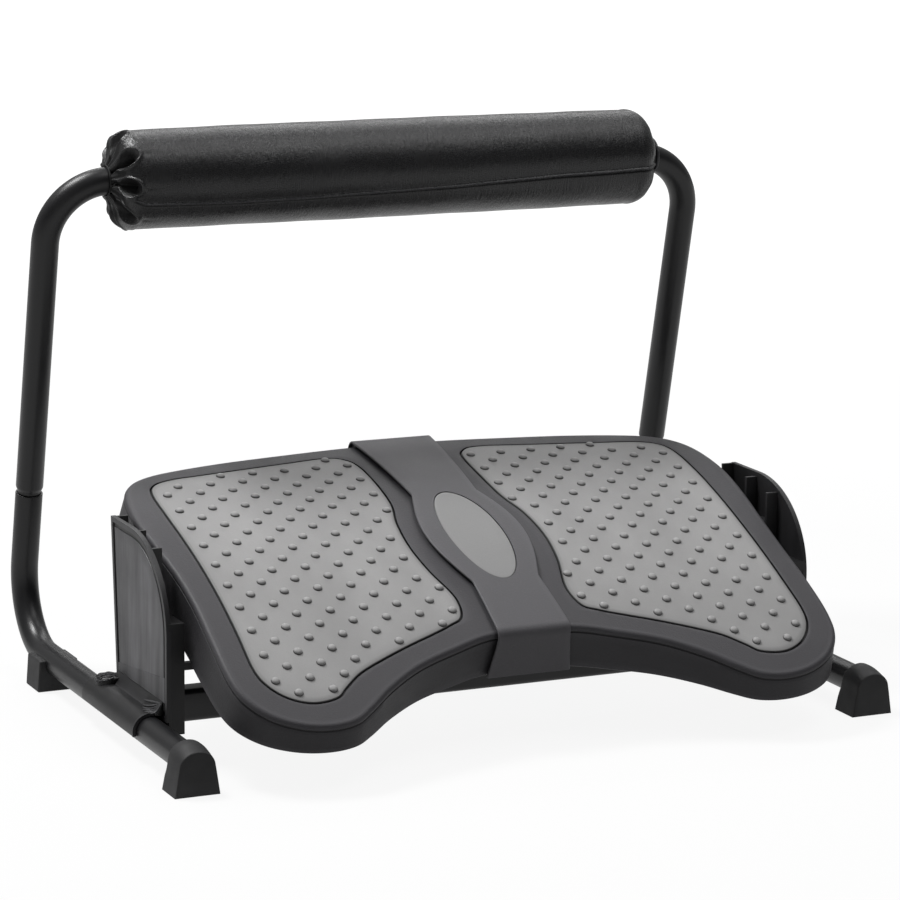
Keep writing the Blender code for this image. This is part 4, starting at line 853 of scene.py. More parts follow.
@dataclass
class Feet:
    """Caps on the rails' front ends and blocks under their rear ends."""

    tubes: TubeFrame
    sole_width: float = 0.035
    wall: float = 0.0028
    front: float = -0.1886
    depth: float = 0.0278
    top_depth: float = 0.0245
    arch_steps: int = 28
    round: float = 0.0012
    hump: float = 0.0010
    brow: float = 0.0028
    rear_y: float = 0.1210
    rear_depth: float = 0.0304
    rear_height: float = 0.0255
    rear_top_width: float = 0.0315

    def arch(self) -> Array:
        """The tombstone section: a flat sole, straight leaning sides tangent to a round top.

        Returns:
            Points in X and Z about the rail's plane, anticlockwise, with points along the straights.
        """
        radius, height = self.tubes.radius + self.wall, self.tubes.rail_height
        half = self.sole_width / 2
        lean = math.atan2(half, height) + math.acos(radius / math.hypot(half, height))
        turns = np.linspace(lean - math.pi / 2, 1.5 * math.pi - lean, self.arch_steps)
        arch = np.stack([radius * np.cos(turns), height + radius * np.sin(turns)], axis=1)
        share, right, left = np.linspace(0.0, 1.0, 8)[:, None], (half, 0.0), (-half, 0.0)
        return np.vstack([between(right, arch[0], share[:-1]), arch, between(arch[-1], left, share[1:]),
                          between(left, right, share[1:-1])])

    def front_foot(self) -> Surface:
        """The right cap: from a crisp lower front arch its top climbs to a soft collar over the tube.

        A row at share s of the depth holds the section moved out by a distance that rises as a sine to
        the collar's hump, then falls by a cube to close on the tube; its crown is lowered by the brow's
        drop times what is left of that sine. Both fade to nought towards the sole, and the rear rows
        lean forwards with height.

        Returns:
            The cap's surface.
        """
        section = self.arch()
        top = section[:, 1].max()
        rake = (self.depth - self.top_depth) / top
        edge, hump, drop = self.round, self.hump, self.brow
        share = np.linspace(0.0, 1.0, 30)
        climb = np.sin(np.clip(share / 0.72, 0, 1) * math.pi / 2) ** 1.3
        growth = hump * climb - (hump + 0.6 * self.wall) * np.clip((share - 0.86) / 0.14, 0, 1) ** 3
        rounding = np.array([(0.0, -1.0), (0.12, -0.5), (0.5, -0.13), (1.0, 0.0)]) * (edge / self.depth, edge)
        plan = np.vstack([np.column_stack([rounding, np.full(4, drop)]),
                          np.stack([share, growth, drop * (1 - climb)], axis=1)[2:]])
        arch_share = np.clip((section[:, 1] / top - 0.30) / 0.45, 0.0, 1.0)
        crown_share = np.clip((section[:, 1] / top - 0.45) / 0.55, 0.0, 1.0) ** 1.5
        side = np.minimum(plan[:, 1], 0.0) * (plan[:, 0] < 0.1)
        distance = side[:, None] * (1 - arch_share) + plan[:, 1:2] * arch_share
        rings = []
        for place, away, fall in zip(plan[:, 0], distance, plan[:, 2]):
            ring = section + (grown(section, 1.0) - section) * away[:, None]
            ring[:, 1] -= fall * crown_share
            depth = self.depth - rake * np.clip(ring[:, 1], 0.0, top)
            rings.append(np.stack([self.tubes.rail_x + ring[:, 0], self.front + place * depth,
                                   np.maximum(ring[:, 1], 0.0)], axis=1))
        return body(np.stack(rings))

    def rear_foot(self) -> Surface:
        """The right rear block, wider at its sole, with the rail let into its top.

        Returns:
            The block's surface.
        """
        low, high, top = self.sole_width / 2, self.rear_top_width / 2, self.rear_height
        section = np.array([(-low, 0.0), (low, 0.0), (high, top), (-high, top)])
        section[:, 0] += self.tubes.rail_x
        return prism(section, Axis.Y, self.rear_y, self.rear_y + self.rear_depth)

    def build(self, finishes: Finishes) -> None:
        """Makes the four feet."""
        cap, heel = self.front_foot(), self.rear_foot()
        for side in Side:
            dress(to_object(f"{side.label}_front_cap", cap.on(side)), finishes.foot, "frame", "foot_rubber",
                  f"{side.label}_front_foot")
            dress(to_object(f"{side.label}_rear_block", heel.on(side)), finishes.foot, "frame", "foot_rubber",
                  f"{side.label}_rear_foot", edges=Edges(0.0014, 4))


@dataclass
class Towers:
    """Side towers: framed outer plate, ribs between three open pockets, stepped block, rail saddle."""

    tubes: TubeFrame
    outer_x: float = 0.2722
    plate: float = 0.0038
    block_x: float = 0.2578
    rib_x: float = 0.2590
    top: float = 0.1625
    foot: float = 0.030
    bottom: float = 0.020
    front: float = -0.0976
    crown: float = -0.0196
    crown_height: float = 0.069
    crown_steps: int = 44
    rear_wall: float = 0.0159
    rear_lean: float = 0.0120
    ribs: tuple[Pair, ...] = ((-0.0181, 0.0924), (-0.0521, 0.0987))
    floors: Triple = (0.1050, 0.0987, 0.0924)
    rib: float = 0.0030
    rib_drop: float = 0.0035
    border: float = 0.0042
    groove: float = 0.0011
    groove_width: float = 0.0026
    ledge: Triple = (0.0460, 0.0507, 0.0632)
    saddle_wall: float = 0.0019
    saddle_front: float = -0.0886
    saddle_rear: float = 0.0274
    saddle_end: float = math.radians(-14)
    lip: Pair = (0.0007, 0.0022)
    slope: Pair = (0.0062, 0.0088)
    lug: tuple[float, float, float, float] = (0.2785, 0.0110, 0.0106, 0.0104)
    lug_rise: float = 0.0052
    ridge: float = 0.0009
    rim_ridge: float = 0.0007
    fan_hub: Pair = (0.2732, -0.0885)
    fan_tips: tuple[Pair, ...] = (
        (0.2757, -0.0570), (0.2787, -0.0610), (0.2812, -0.0670), (0.2832, -0.0730), (0.2842, -0.0795),
        (0.2842, -0.0850), (0.2822, -0.0876))
    tab: Triple = (0.0076, 0.006, 0.0055)

    def rear_edge(self, height: float) -> float:
        """The leaning rear edge at a height."""
        share = (height - self.foot) / (self.top - self.foot)
        return self.rear_wall + self.rib / 2 + self.rear_lean * (share - 0.5)

    def crown_at(self, y: float) -> float:
        """Height of the curved front edge over a place fore and aft."""
        share = min(max((self.crown - y) / (self.crown - self.front), 0.0), 1.0)
        return self.top - self.crown_height * (1 - math.sqrt(1 - share ** 2))

    def plate_outline(self) -> Array:
        """The plate's outline in Y and Z: leaning rear edge, flat top, quarter ellipse, upright front.

        Returns:
            Points in order round the plate, anticlockwise.
        """
        turns = np.linspace(0.0, math.pi / 2, self.crown_steps)
        crown = np.stack([self.crown - (self.crown - self.front) * np.sin(turns),
                          self.top - self.crown_height * (1 - np.cos(turns))], axis=1)
        ends = [(self.rear_edge(self.foot), self.foot), (self.rear_edge(self.top), self.top)]
        return anticlockwise(np.vstack([ends, crown, [(self.front, self.foot)]]))

    def outer_plate(self) -> list[Surface]:
        """The plate, a groove inside its border, and the slanted ledge low on it.

        Returns:
            Plate and ledge; the plate's face carries a painted highlight and its groove painted shade, and
            the recessed panel and the ledge carry the mark for the finish's painted sheen.
        """
        outline = self.plate_outline()
        inner, depth, wide = self.border, self.groove, self.groove_width
        stops = ((-self.plate, 0.0, 0.0), (0.0, 0.0, 0.6), (0.0, inner - 0.0003, 0.6), (-depth, inner, -1.0),
                 (-depth, inner + wide, -1.0), (-0.0003, inner + wide + 0.0004, 0.5),
                 (-0.0004, inner + 0.012, 1.0))
        rings = np.stack([np.insert(grown(outline, -inset), 0, self.outer_x + x, axis=1)
                          for x, inset, _ in stops])
        # Edge marks: a painted highlight on the plate's face, painted shade in the groove; the panel mark
        # sets the painted sheen.
        made = body(rings).marked("edge", np.repeat([min(mark, 0.4) for *_, mark in stops], len(outline)))
        made.marked("panel", np.repeat([0.0] * (len(stops) - 2) + [0.45, 1.0], len(outline)))
        low, rear, front = self.ledge
        back, fore = self.rear_edge(low) - 0.0046, self.front + 0.0046
        step = prism(anticlockwise(np.array([(back, low - 0.002), (back, rear), (fore, front),
                                             (fore, low - 0.002)])),
                     Axis.X, self.outer_x - 0.001, self.outer_x)
        return [made, step.marked("panel", 0.6)]

    def saddle(self) -> list[Surface]:
        """The half sleeve over the rail, flat towards the block, with a thicker lip at its front end.

        Returns:
            Sleeve and lip.
        """
        centre = np.array((self.tubes.rail_x, self.tubes.rail_height))
        turns = np.linspace(self.saddle_end, math.pi / 2, 26)
        spoke = np.stack([np.cos(turns), np.sin(turns)], axis=1)
        inner, wall = self.tubes.radius + 0.0003, self.saddle_wall
        made = []
        for extra, start, end in ((0.0, self.saddle_front + 0.0005, self.saddle_rear),
                                  (self.lip[0], self.saddle_front, self.saddle_front + self.lip[1])):
            outer = centre + spoke * (inner + wall + extra)
            bore = centre + spoke * (inner - (0.0 if extra else 0.0002))
            far = self.tubes.rail_x - 0.0119
            outline = np.vstack([outer, [(far, outer[-1, 1]), (far, bore[-1, 1])], bore[::-1]])
            # A painted highlight on the lip, painted shade on the sleeve.
            made.append(prism(outline, Axis.Y, start, end).marked("edge", 0.35 if extra else -0.4))
        return made

    @property
    def crest(self) -> float:
        """Height of the sleeve's top."""
        return self.tubes.rail_height + self.tubes.radius + self.saddle_wall

    def slope_height(self, x: Array) -> Array:
        """Height of the hollow slope, crest + rise (1 - t)^1.8 at share t of its width, then of the crest."""
        width, rise = self.slope
        return self.crest + rise * np.clip(1 - (x - self.outer_x - 0.0004) / width, 0.0, 1.0) ** 1.8

    def foot_slope(self) -> Surface:
        """The hollow slope from the plate's foot down to the sleeve's crest, with painted shade under the
        fan.

        Returns:
            The slope's surface.
        """
        x = self.outer_x + 0.0004 + self.slope[0] * np.linspace(1.0, 0.0, 12)
        inside, low = self.outer_x - 0.002, self.crest - 0.0012
        outline = np.vstack([[(inside, low), (x[0], low)], np.stack([x, self.slope_height(x)], axis=1),
                             [(inside, self.slope_height(x)[-1])]])
        stations = np.array([self.front + 0.0075, self.front + 0.034, self.front + 0.039,
                             self.rear_edge(self.foot) - 0.003])
        rings = np.stack([np.insert(outline, 1, y, axis=1) for y in stations])
        # Edge marks: painted shade across the front stations under the fan, and along the low and inner edges
        # further back.
        plain = np.concatenate([(0.0, -0.9, -0.9, -0.3), np.zeros(8), (-0.3, -1.0, -1.0)])
        dark = np.full(len(outline), -0.85)
        return body(rings).marked("edge", np.concatenate([dark, dark, plain, plain]))

    def lug_and_fan(self) -> list[Surface]:
        """The oval lug over the sleeve's rear with its wavy ridges, and the fan of ridges at its front.

        Returns:
            One surface each.
        """
        x, y, half_x, half_y = self.lug
        crest, rise = self.crest, self.lug_rise
        turns = even_turns(40)
        round_about = np.stack([np.cos(turns) * half_x, np.sin(turns) * half_y], axis=1)
        plan = [(1.0, -0.0028), (1.0, 0.45 * rise), (0.97, 0.7 * rise), (0.88, 0.88 * rise), (0.5, rise),
                (0.1, 1.03 * rise)]
        rings = [np.insert(np.array((x, y)) + round_about * share, 2, crest + lift, axis=1)
                 for share, lift in plan]
        # Painted shade on the lug's body.
        made = [body(np.stack(rings)).marked("edge", -0.85)]
        along = np.linspace(-1.0, 1.0, 22)
        for shift in np.linspace(-0.85, 0.7, 5):
            reach = half_x * math.sqrt(1 - shift ** 2) * 0.98
            wave = 0.0008 * np.sin(along * 6.5 + shift * 5)
            path = np.stack([x + reach * along, y + shift * half_y + wave,
                             crest + rise * (1.04 - 0.25 * shift ** 2 - 0.12 * along ** 2)], axis=1)
            # Each wavy ridge gets a painted highlight.
            made.append(spindle(path, self.ridge).marked("edge", 1.5))
        for share, start, end in ((0.22, -50.0, 60.0), (0.55, -70.0, 40.0)):
            turn = np.radians(np.linspace(start, end, 24))
            path = np.stack([x + half_x * np.cos(turn), y + half_y * np.sin(turn),
                             crest + rise * (share + 0.10 * np.sin(turn * 5))], axis=1)
            # These rim ridges get a painted highlight too.
            made.append(spindle(path, self.rim_ridge).marked("edge", 1.5))
        hub, tips = np.array(self.fan_hub), np.array(self.fan_tips)
        apron = prism(anticlockwise(np.vstack([hub[None, :], tips])), Axis.Z, crest - 0.002, crest + 0.0004)
        # Painted shade on the fan's apron.
        made.append(apron.marked("edge", -0.9))
        for tip in tips:
            share = np.linspace(0.0, 1.0, 16)[:, None]
            flat = between(hub, tip, share) + (0.0, -0.0012) * share ** 2
            path = np.column_stack([flat, self.slope_height(flat[:, 0]) + 0.0004])
            # Each fan ridge gets a painted highlight.
            made.append(spindle(path, self.ridge).marked("edge", 1.5))
        return made

    def inner_walls(self) -> list[Surface]:
        """Rear wall, ribs with rounded tops, stepped block and stop tab.

        Returns:
            One surface each, running a little into the plate.
        """
        inside, thin, half = self.outer_x - self.plate + 0.001, 0.0003, self.rib / 2
        foot_y, top_y = self.rear_edge(self.foot), self.rear_edge(self.top)
        wall = np.array([(foot_y - thin, self.foot), (top_y - thin, self.top - thin),
                         (top_y - self.rib, self.top - thin), (foot_y - self.rib, self.foot)])
        made = [prism(wall, Axis.X, self.rib_x, inside)]
        for y, floor in self.ribs:
            # Each rib gets a faint painted highlight.
            made.append(block((self.rib_x, y - half, floor - 0.001),
                              (inside, y + half, self.crown_at(y) - self.rib_drop)).marked("edge", 0.2))
        (rear_rib, _), (front_rib, _) = self.ribs
        front, middle, rear = self.floors
        steps = np.array([(self.front + thin, front), (front_rib - half, front), (front_rib - half, middle),
                          (rear_rib - half, middle), (rear_rib - half, rear),
                          (self.rear_edge(rear) - 0.001, rear), (foot_y - 0.001, self.bottom),
                          (self.front + thin, self.bottom)])
        beside_rail = self.tubes.rail_x - self.tubes.radius - 0.0006
        # Painted shade on the stepped block.
        made.append(prism(steps, Axis.X, self.block_x, beside_rail).marked("edge", -0.4))
        reach, depth, height = self.tab
        tab_front, tab_top = self.front + 0.001, Platform().skirt_bottom(self.front + 0.001) - 0.0004
        made.append(block((self.block_x - reach, tab_front, tab_top - height),
                          (self.block_x + 0.001, tab_front + depth, tab_top)))
        return made

    def build(self, finishes: Finishes) -> None:
        """Makes both towers."""
        whole = joined(*self.outer_plate(), *self.saddle(), self.foot_slope(), *self.lug_and_fan(),
                       *self.inner_walls())
        dress_pair("pocket_tower", whole, finishes.tower, "frame", "tower_plastic", "tower", Edges(0.0004, 2))


@dataclass
class Crossbar:
    """The painted box-section bar between the towers' blocks."""

    end_x: float = 0.2698
    front: float = -0.0838
    depth: float = 0.020
    bottom: float = 0.0246
    height: float = 0.025
    wall: float = 0.0016
    corner: float = 0.004
    corner_steps: int = 8

    def outline(self, inset: float) -> Array:
        """A rectangle in Y and Z with round corners, moved in by an inset.

        Args:
            inset: How far in from the outer face.

        Returns:
            Its points, anticlockwise.
        """
        radius = self.corner - inset
        low = np.array((self.front, self.bottom)) + inset + radius
        high = np.array((self.front + self.depth, self.bottom + self.height)) - inset - radius
        centres = np.array([(high[0], high[1]), (low[0], high[1]), (low[0], low[1]), (high[0], low[1])])
        turns = (np.arange(4)[:, None] + np.linspace(0, 1, self.corner_steps)[None, :]) * (math.pi / 2)
        arcs = np.stack([np.cos(turns), np.sin(turns)], axis=-1) * radius
        return (centres[:, None, :] + arcs).reshape(-1, 2)

    def build(self, finishes: Finishes) -> None:
        """Makes the bar."""
        outside, inside = self.outline(0.0), self.outline(self.wall)
        stops = ((-self.end_x, outside), (self.end_x, outside), (self.end_x, inside), (-self.end_x, inside))
        bar = body(np.stack([np.insert(ring, 0, x, axis=1) for x, ring in stops]), wrap=True)
        dress(to_object("cross_tube", bar), finishes.tube, "frame", "black_tube", "crossbar")


# ---- platform


@dataclass
class Platform:
    """The tilting platform's own frame, and what its pieces share."""

    axle_y: float = -0.0351
    axle_z: float = 0.114
    axle_w: float = 0.0161
    axle_h: float = 0.0137
    tilt: float = math.radians(21.8)
    half_width: float = 0.256
    half_depth: float = 0.177
    edge_height: float = 0.022
    dome_radius: float = 0.770
    rim_round: float = 0.0040
    skirt_flare: float = 0.0026
    cover_foot: float = 0.035
    screw_spread: float = 0.0468
    screw_x: float = 0.011

    def dome(self, w: Array) -> Array:
        """Height of the top surface: a circular arc up the slope, the same all across."""
        base = self.edge_height - math.sqrt(self.dome_radius ** 2 - self.half_depth ** 2)
        return base + np.sqrt(self.dome_radius ** 2 - np.square(w))

    def over(self, flat: Array, lift: float) -> Array:
        """Points at a lift over the dome, from their places as (x, w)."""
        return np.column_stack([flat, self.dome(flat[:, 1]) + lift])

    def in_world(self, surface: Surface) -> Surface:
        """Carries a surface from the platform's frame to the world.

        A point (x, w, h) goes to y = axle_y + (w - axle_w) cos t - (h - axle_h) sin t and
        z = axle_z + (w - axle_w) sin t + (h - axle_h) cos t.

        Args:
            surface: Points as (x, w, h).

        Returns:
            The same surface in world places.
        """
        x, w, h = surface.points.T
        run, rise = w - self.axle_w, h - self.axle_h
        cos, sin = math.cos(self.tilt), math.sin(self.tilt)
        surface.points = np.stack([x, self.axle_y + run * cos - rise * sin,
                                   self.axle_z + run * sin + rise * cos], axis=1)
        return surface

    def skirt_bottom(self, y: float) -> float:
        """World height of the skirt's bottom at a place fore and aft."""
        run = (y - self.axle_y - self.axle_h * math.sin(self.tilt)) / math.cos(self.tilt)
        return self.axle_z + run * math.sin(self.tilt) - self.axle_h * math.cos(self.tilt)


RIM_SHARES = (
    (0.000, -0.602), (0.137, -0.606), (0.262, -0.661), (0.395, -0.734), (0.508, -0.831), (0.594, -0.927),
    (0.656, -0.983), (0.738, -1.000), (0.828, -0.977), (0.910, -0.910), (0.965, -0.802), (0.984, -0.667),
    (0.984, -0.452), (0.980, -0.226), (0.984, 0.000), (0.996, 0.215), (1.002, 0.452), (0.980, 0.660),
    (0.934, 0.780), (0.861, 0.850), (0.754, 0.895), (0.586, 0.938), (0.391, 0.969), (0.195, 0.994),
    (0.000, 1.006), (0.000, 0.678), (0.000, 0.395), (0.000, 0.169), (0.000, -0.056), (0.000, -0.282),
    (0.000, -0.452),
)
RIM_CORNERS = (0, 24)
PAD_SHARES = (
    (0.195, -0.475), (0.242, -0.520), (0.313, -0.565), (0.402, -0.616), (0.500, -0.678), (0.586, -0.740),
    (0.645, -0.808), (0.688, -0.859), (0.766, -0.873), (0.836, -0.831), (0.883, -0.751), (0.902, -0.650),
    (0.900, -0.452), (0.898, -0.226), (0.898, 0.000), (0.900, 0.215), (0.902, 0.452), (0.896, 0.655),
    (0.867, 0.746), (0.801, 0.791), (0.703, 0.811), (0.566, 0.836), (0.410, 0.864), (0.273, 0.887),
    (0.207, 0.859), (0.176, 0.746), (0.180, 0.407), (0.211, 0.215), (0.223, 0.028), (0.211, -0.158),
    (0.180, -0.350),
)


@dataclass
class Shells:
    """The two moulded halves: recess for the pad, rounded rim, creased skirt, stiffened underside."""

    base: Platform
    towers: Towers
    steps: int = 8
    seam: float = 0.0002
    pad_thickness: float = 0.0022
    skin: float = 0.003
    skirt_wall: float = 0.0026
    crease: float = 0.0006
    tower_clearance: float = 0.0045
    zone_margin: float = 0.006
    zone_blend: float = 0.028
    centre: Pair = (0.150, 0.004)
    hub_radius: float = 0.011
    bore: float = 0.0063
    hub_length: float = 0.014
    hub_round: float = 0.0006
    hub_reach: float = 0.0009
    half_web: float = 0.0012
    boss: Triple = (0.0042, 0.0045, 0.0047)
    overlap: float = 0.001

    def curve(self, shares: tuple[Pair, ...], corners: tuple[int, ...] = ()) -> Array:
        """A smooth closed outline through points given as shares of the half width and half depth.

        Between points p1 and p2, with p0 before and p3 after, it is half of
        2 p1 + (p2 - p0) t + (2 p0 - 5 p1 + 4 p2 - p3) t^2 + (3 p1 - p0 - 3 p2 + p3) t^3.

        Args:
            shares: The points.
            corners: Which of them stay sharp.

        Returns:
            The outline, with the same number of points for each stretch.
        """
        points = np.array(shares) * (self.base.half_width, self.base.half_depth)
        before, after, later = (np.roll(points, shift, axis=0) for shift in (1, -1, -2))
        for corner in corners:
            before[corner], later[corner - 1] = points[corner], points[corner]
        t = (np.arange(self.steps) / self.steps)[None, :, None]
        p0, p1, p2, p3 = (p[:, None, :] for p in (before, points, after, later))
        curve = (2 * p1 + (p2 - p0) * t + (2 * p0 - 5 * p1 + 4 * p2 - p3) * t ** 2
                 + (3 * p1 - p0 - 3 * p2 + p3) * t ** 3) / 2
        curve = curve.reshape(-1, 2)
        curve[:, 0] = np.maximum(curve[:, 0], self.seam)
        return curve

    def moved(self, outline: Array, distance: float, inner: float) -> Array:
        """The rim outline moved in or out, kept inner metres from the seam and inside its own ends."""
        made = grown(outline, distance)
        on_seam = outline[:, 0] <= self.seam + 1e-9
        ends = made[list(np.array(RIM_CORNERS) * self.steps), 1]
        made[on_seam, 1] = np.clip(made[on_seam, 1], ends.min(), ends.max())
        made[:, 0] = np.maximum(made[:, 0], inner)
        return made

    def tower_limit(self, w: Array) -> Array:
        """How far out the skirt may stand: beside the tower it keeps clear of the tower's block."""
        towers, base = self.towers, self.base
        inner = towers.block_x - self.tower_clearance
        rear = towers.rear_edge(towers.foot)
        centre = (towers.front + rear) / 2 - base.axle_y
        half = (rear - towers.front) / 2 + self.zone_margin
        cos = math.cos(base.tilt)
        beyond = np.abs((w - base.axle_w) - centre / cos) - half / cos
        spread = base.half_width + base.skirt_flare - inner
        return inner + np.clip(beyond / self.zone_blend, 0.0, 1.0) * spread

    def rings(self) -> tuple[Array, Array]:
        """Rings of the right half from the middle of the recess out, down the skirt and up inside.

        The top follows the dome; the shoulder is a quarter round; the crease is a shallow groove under
        it; the skirt runs straight to its foot, and the inside runs parallel to it.

        Returns:
            The rings as (ring, point, xwh), and for each point its edge mark: a painted highlight above
            nought, painted shade below it.
        """
        dome, base = self.base.dome, self.base
        outline = self.curve(RIM_SHARES, RIM_CORNERS)
        recess = grown(self.curve(PAD_SHARES), 0.0003)
        lip = grown(recess, 0.0005)
        middle = np.array(self.centre)
        rim = self.moved(outline, -base.rim_round, self.seam)
        foot = self.moved(outline, base.skirt_flare, self.seam)
        foot[:, 0] = np.minimum(foot[:, 0], self.tower_limit(foot[:, 1]))
        inside = self.seam + self.skirt_wall
        foot_in = self.moved(foot, -self.skirt_wall, inside)
        top_in = self.moved(outline, -base.rim_round - self.skirt_wall, inside)
        shoulder = dome(rim[:, 1])
        rings: list[Array] = []
        marks: list[float] = []

        def add(flat: Array, height: Array | float, mark: float = 0.0) -> None:
            """Adds one ring at a height, and its edge mark: a painted highlight above nought, painted shade
            below it.
            """
            rings.append(np.column_stack([flat, np.broadcast_to(height, len(flat))]))
            marks.append(mark)

        # Painted shade at the recess floor's outer ring and on the recess wall.
        for share in np.linspace(0.06, 1.0, 9):
            flat = between(middle, recess, share)
            add(flat, dome(flat[:, 1]) - self.pad_thickness, -1.0 if share == 1.0 else 0.0)
        add(recess, dome(recess[:, 1]) - 0.0005, -1.0)
        add(between(recess, lip, 0.3), dome(recess[:, 1]) - 0.00015, -0.4)
        # Painted highlight at both edges of the rim's top.
        for share in np.linspace(0.0, 1.0, 8):
            flat = between(lip, rim, share)
            add(flat, dome(flat[:, 1]), 0.6 if share in (0.0, 1.0) else 0.0)
        # Painted highlight across the shoulder's round.
        for turn in np.linspace(0.0, math.pi / 2, 8)[1:]:
            add(between(rim, outline, math.sin(turn)), shoulder - base.rim_round * (1 - math.cos(turn)),
                0.35 * math.sin(2 * turn))
        low = shoulder - base.rim_round
        # Painted shade in the crease.
        pinched = self.moved(outline, -self.crease, self.seam)
        add(pinched, low - self.crease, -1.0)
        add(pinched, low - 2.5 * self.crease, -1.0)
        add(outline, low - 3.5 * self.crease, -0.2)
        start = low - 3.5 * self.crease
        # Painted shade down the skirt, a faint painted highlight at its foot.
        for share in np.linspace(0.0, 1.0, 6)[1:]:
            add(between(outline, foot, share), start * (1 - share) + 0.0007 * share,
                0.1 if share == 1.0 else -0.45)
        add(between(foot, foot_in, 0.25), 0.0)
        add(between(foot, foot_in, 0.8), 0.0)
        under = self.skin + self.pad_thickness
        ceiling = dome(top_in[:, 1]) - under
        for share in np.linspace(0.0, 1.0, 5):
            add(between(foot_in, top_in, share), 0.0006 + (ceiling - 0.0006) * share)
        for share in np.linspace(0.94, 0.06, 9):
            flat = between(middle, top_in, share)
            add(flat, dome(flat[:, 1]) - under)
        stacked = np.stack(rings)
        return stacked, np.repeat(marks, stacked.shape[1])

    def underside(self) -> list[Surface]:
        """Hubs round the axle, cross webs and the joiner's bosses, in the platform's frame.

        Returns:
            One surface each.
        """
        base = self.base
        hub = np.array((0.0, base.axle_w, base.axle_h))
        side_x = self.towers.block_x - self.tower_clearance
        made, wide, soft = [], self.hub_radius, self.hub_round
        for start, end in ((side_x - self.hub_length, self.towers.block_x + self.hub_reach),
                           (self.seam, self.hub_length)):
            profile = [(start, self.bore), (start, wide - soft), (start + soft, wide), (end - soft, wide),
                       (end, wide - soft), (end, self.bore)]
            made.append(turned(hub, ACROSS, profile, 40, wrap=True))
        top = float(base.dome(base.axle_w)) - self.skin - self.pad_thickness + self.overlap
        for share in (1 / 3, 2 / 3):
            x = share * base.half_width
            made.append(block((x - self.half_web, base.axle_w - 2 * wide, base.axle_h - wide),
                              (x + self.half_web, base.axle_w + 2 * wide, top)))
        for way in (-1, 1):
            w = base.axle_w + way * base.screw_spread
            seat = np.array((base.screw_x, w, base.axle_h - wide))
            height = float(base.dome(w)) - self.skin - self.pad_thickness + self.overlap - seat[2]
            low, mid, high = self.boss
            made.append(turned(seat, UP, [(0, low), (0.0004, mid), (height, high)], 24))
        return made

    def build(self, finishes: Finishes) -> None:
        """Makes both halves."""
        rings, marks = self.rings()
        middle = np.array(self.centre)
        top = float(self.base.dome(middle[1]))
        closed = body(rings, first=np.array((*middle, top - self.pad_thickness)),
                      last=np.array((*middle, top - self.skin - self.pad_thickness)))
        closed.marked("edge", np.concatenate([marks, (0.0, 0.0)]))
        whole = self.base.in_world(joined(closed, *self.underside()))
        dress_pair("moulded_half", whole, finishes.shell, "platform", "shell_plastic", "shell")


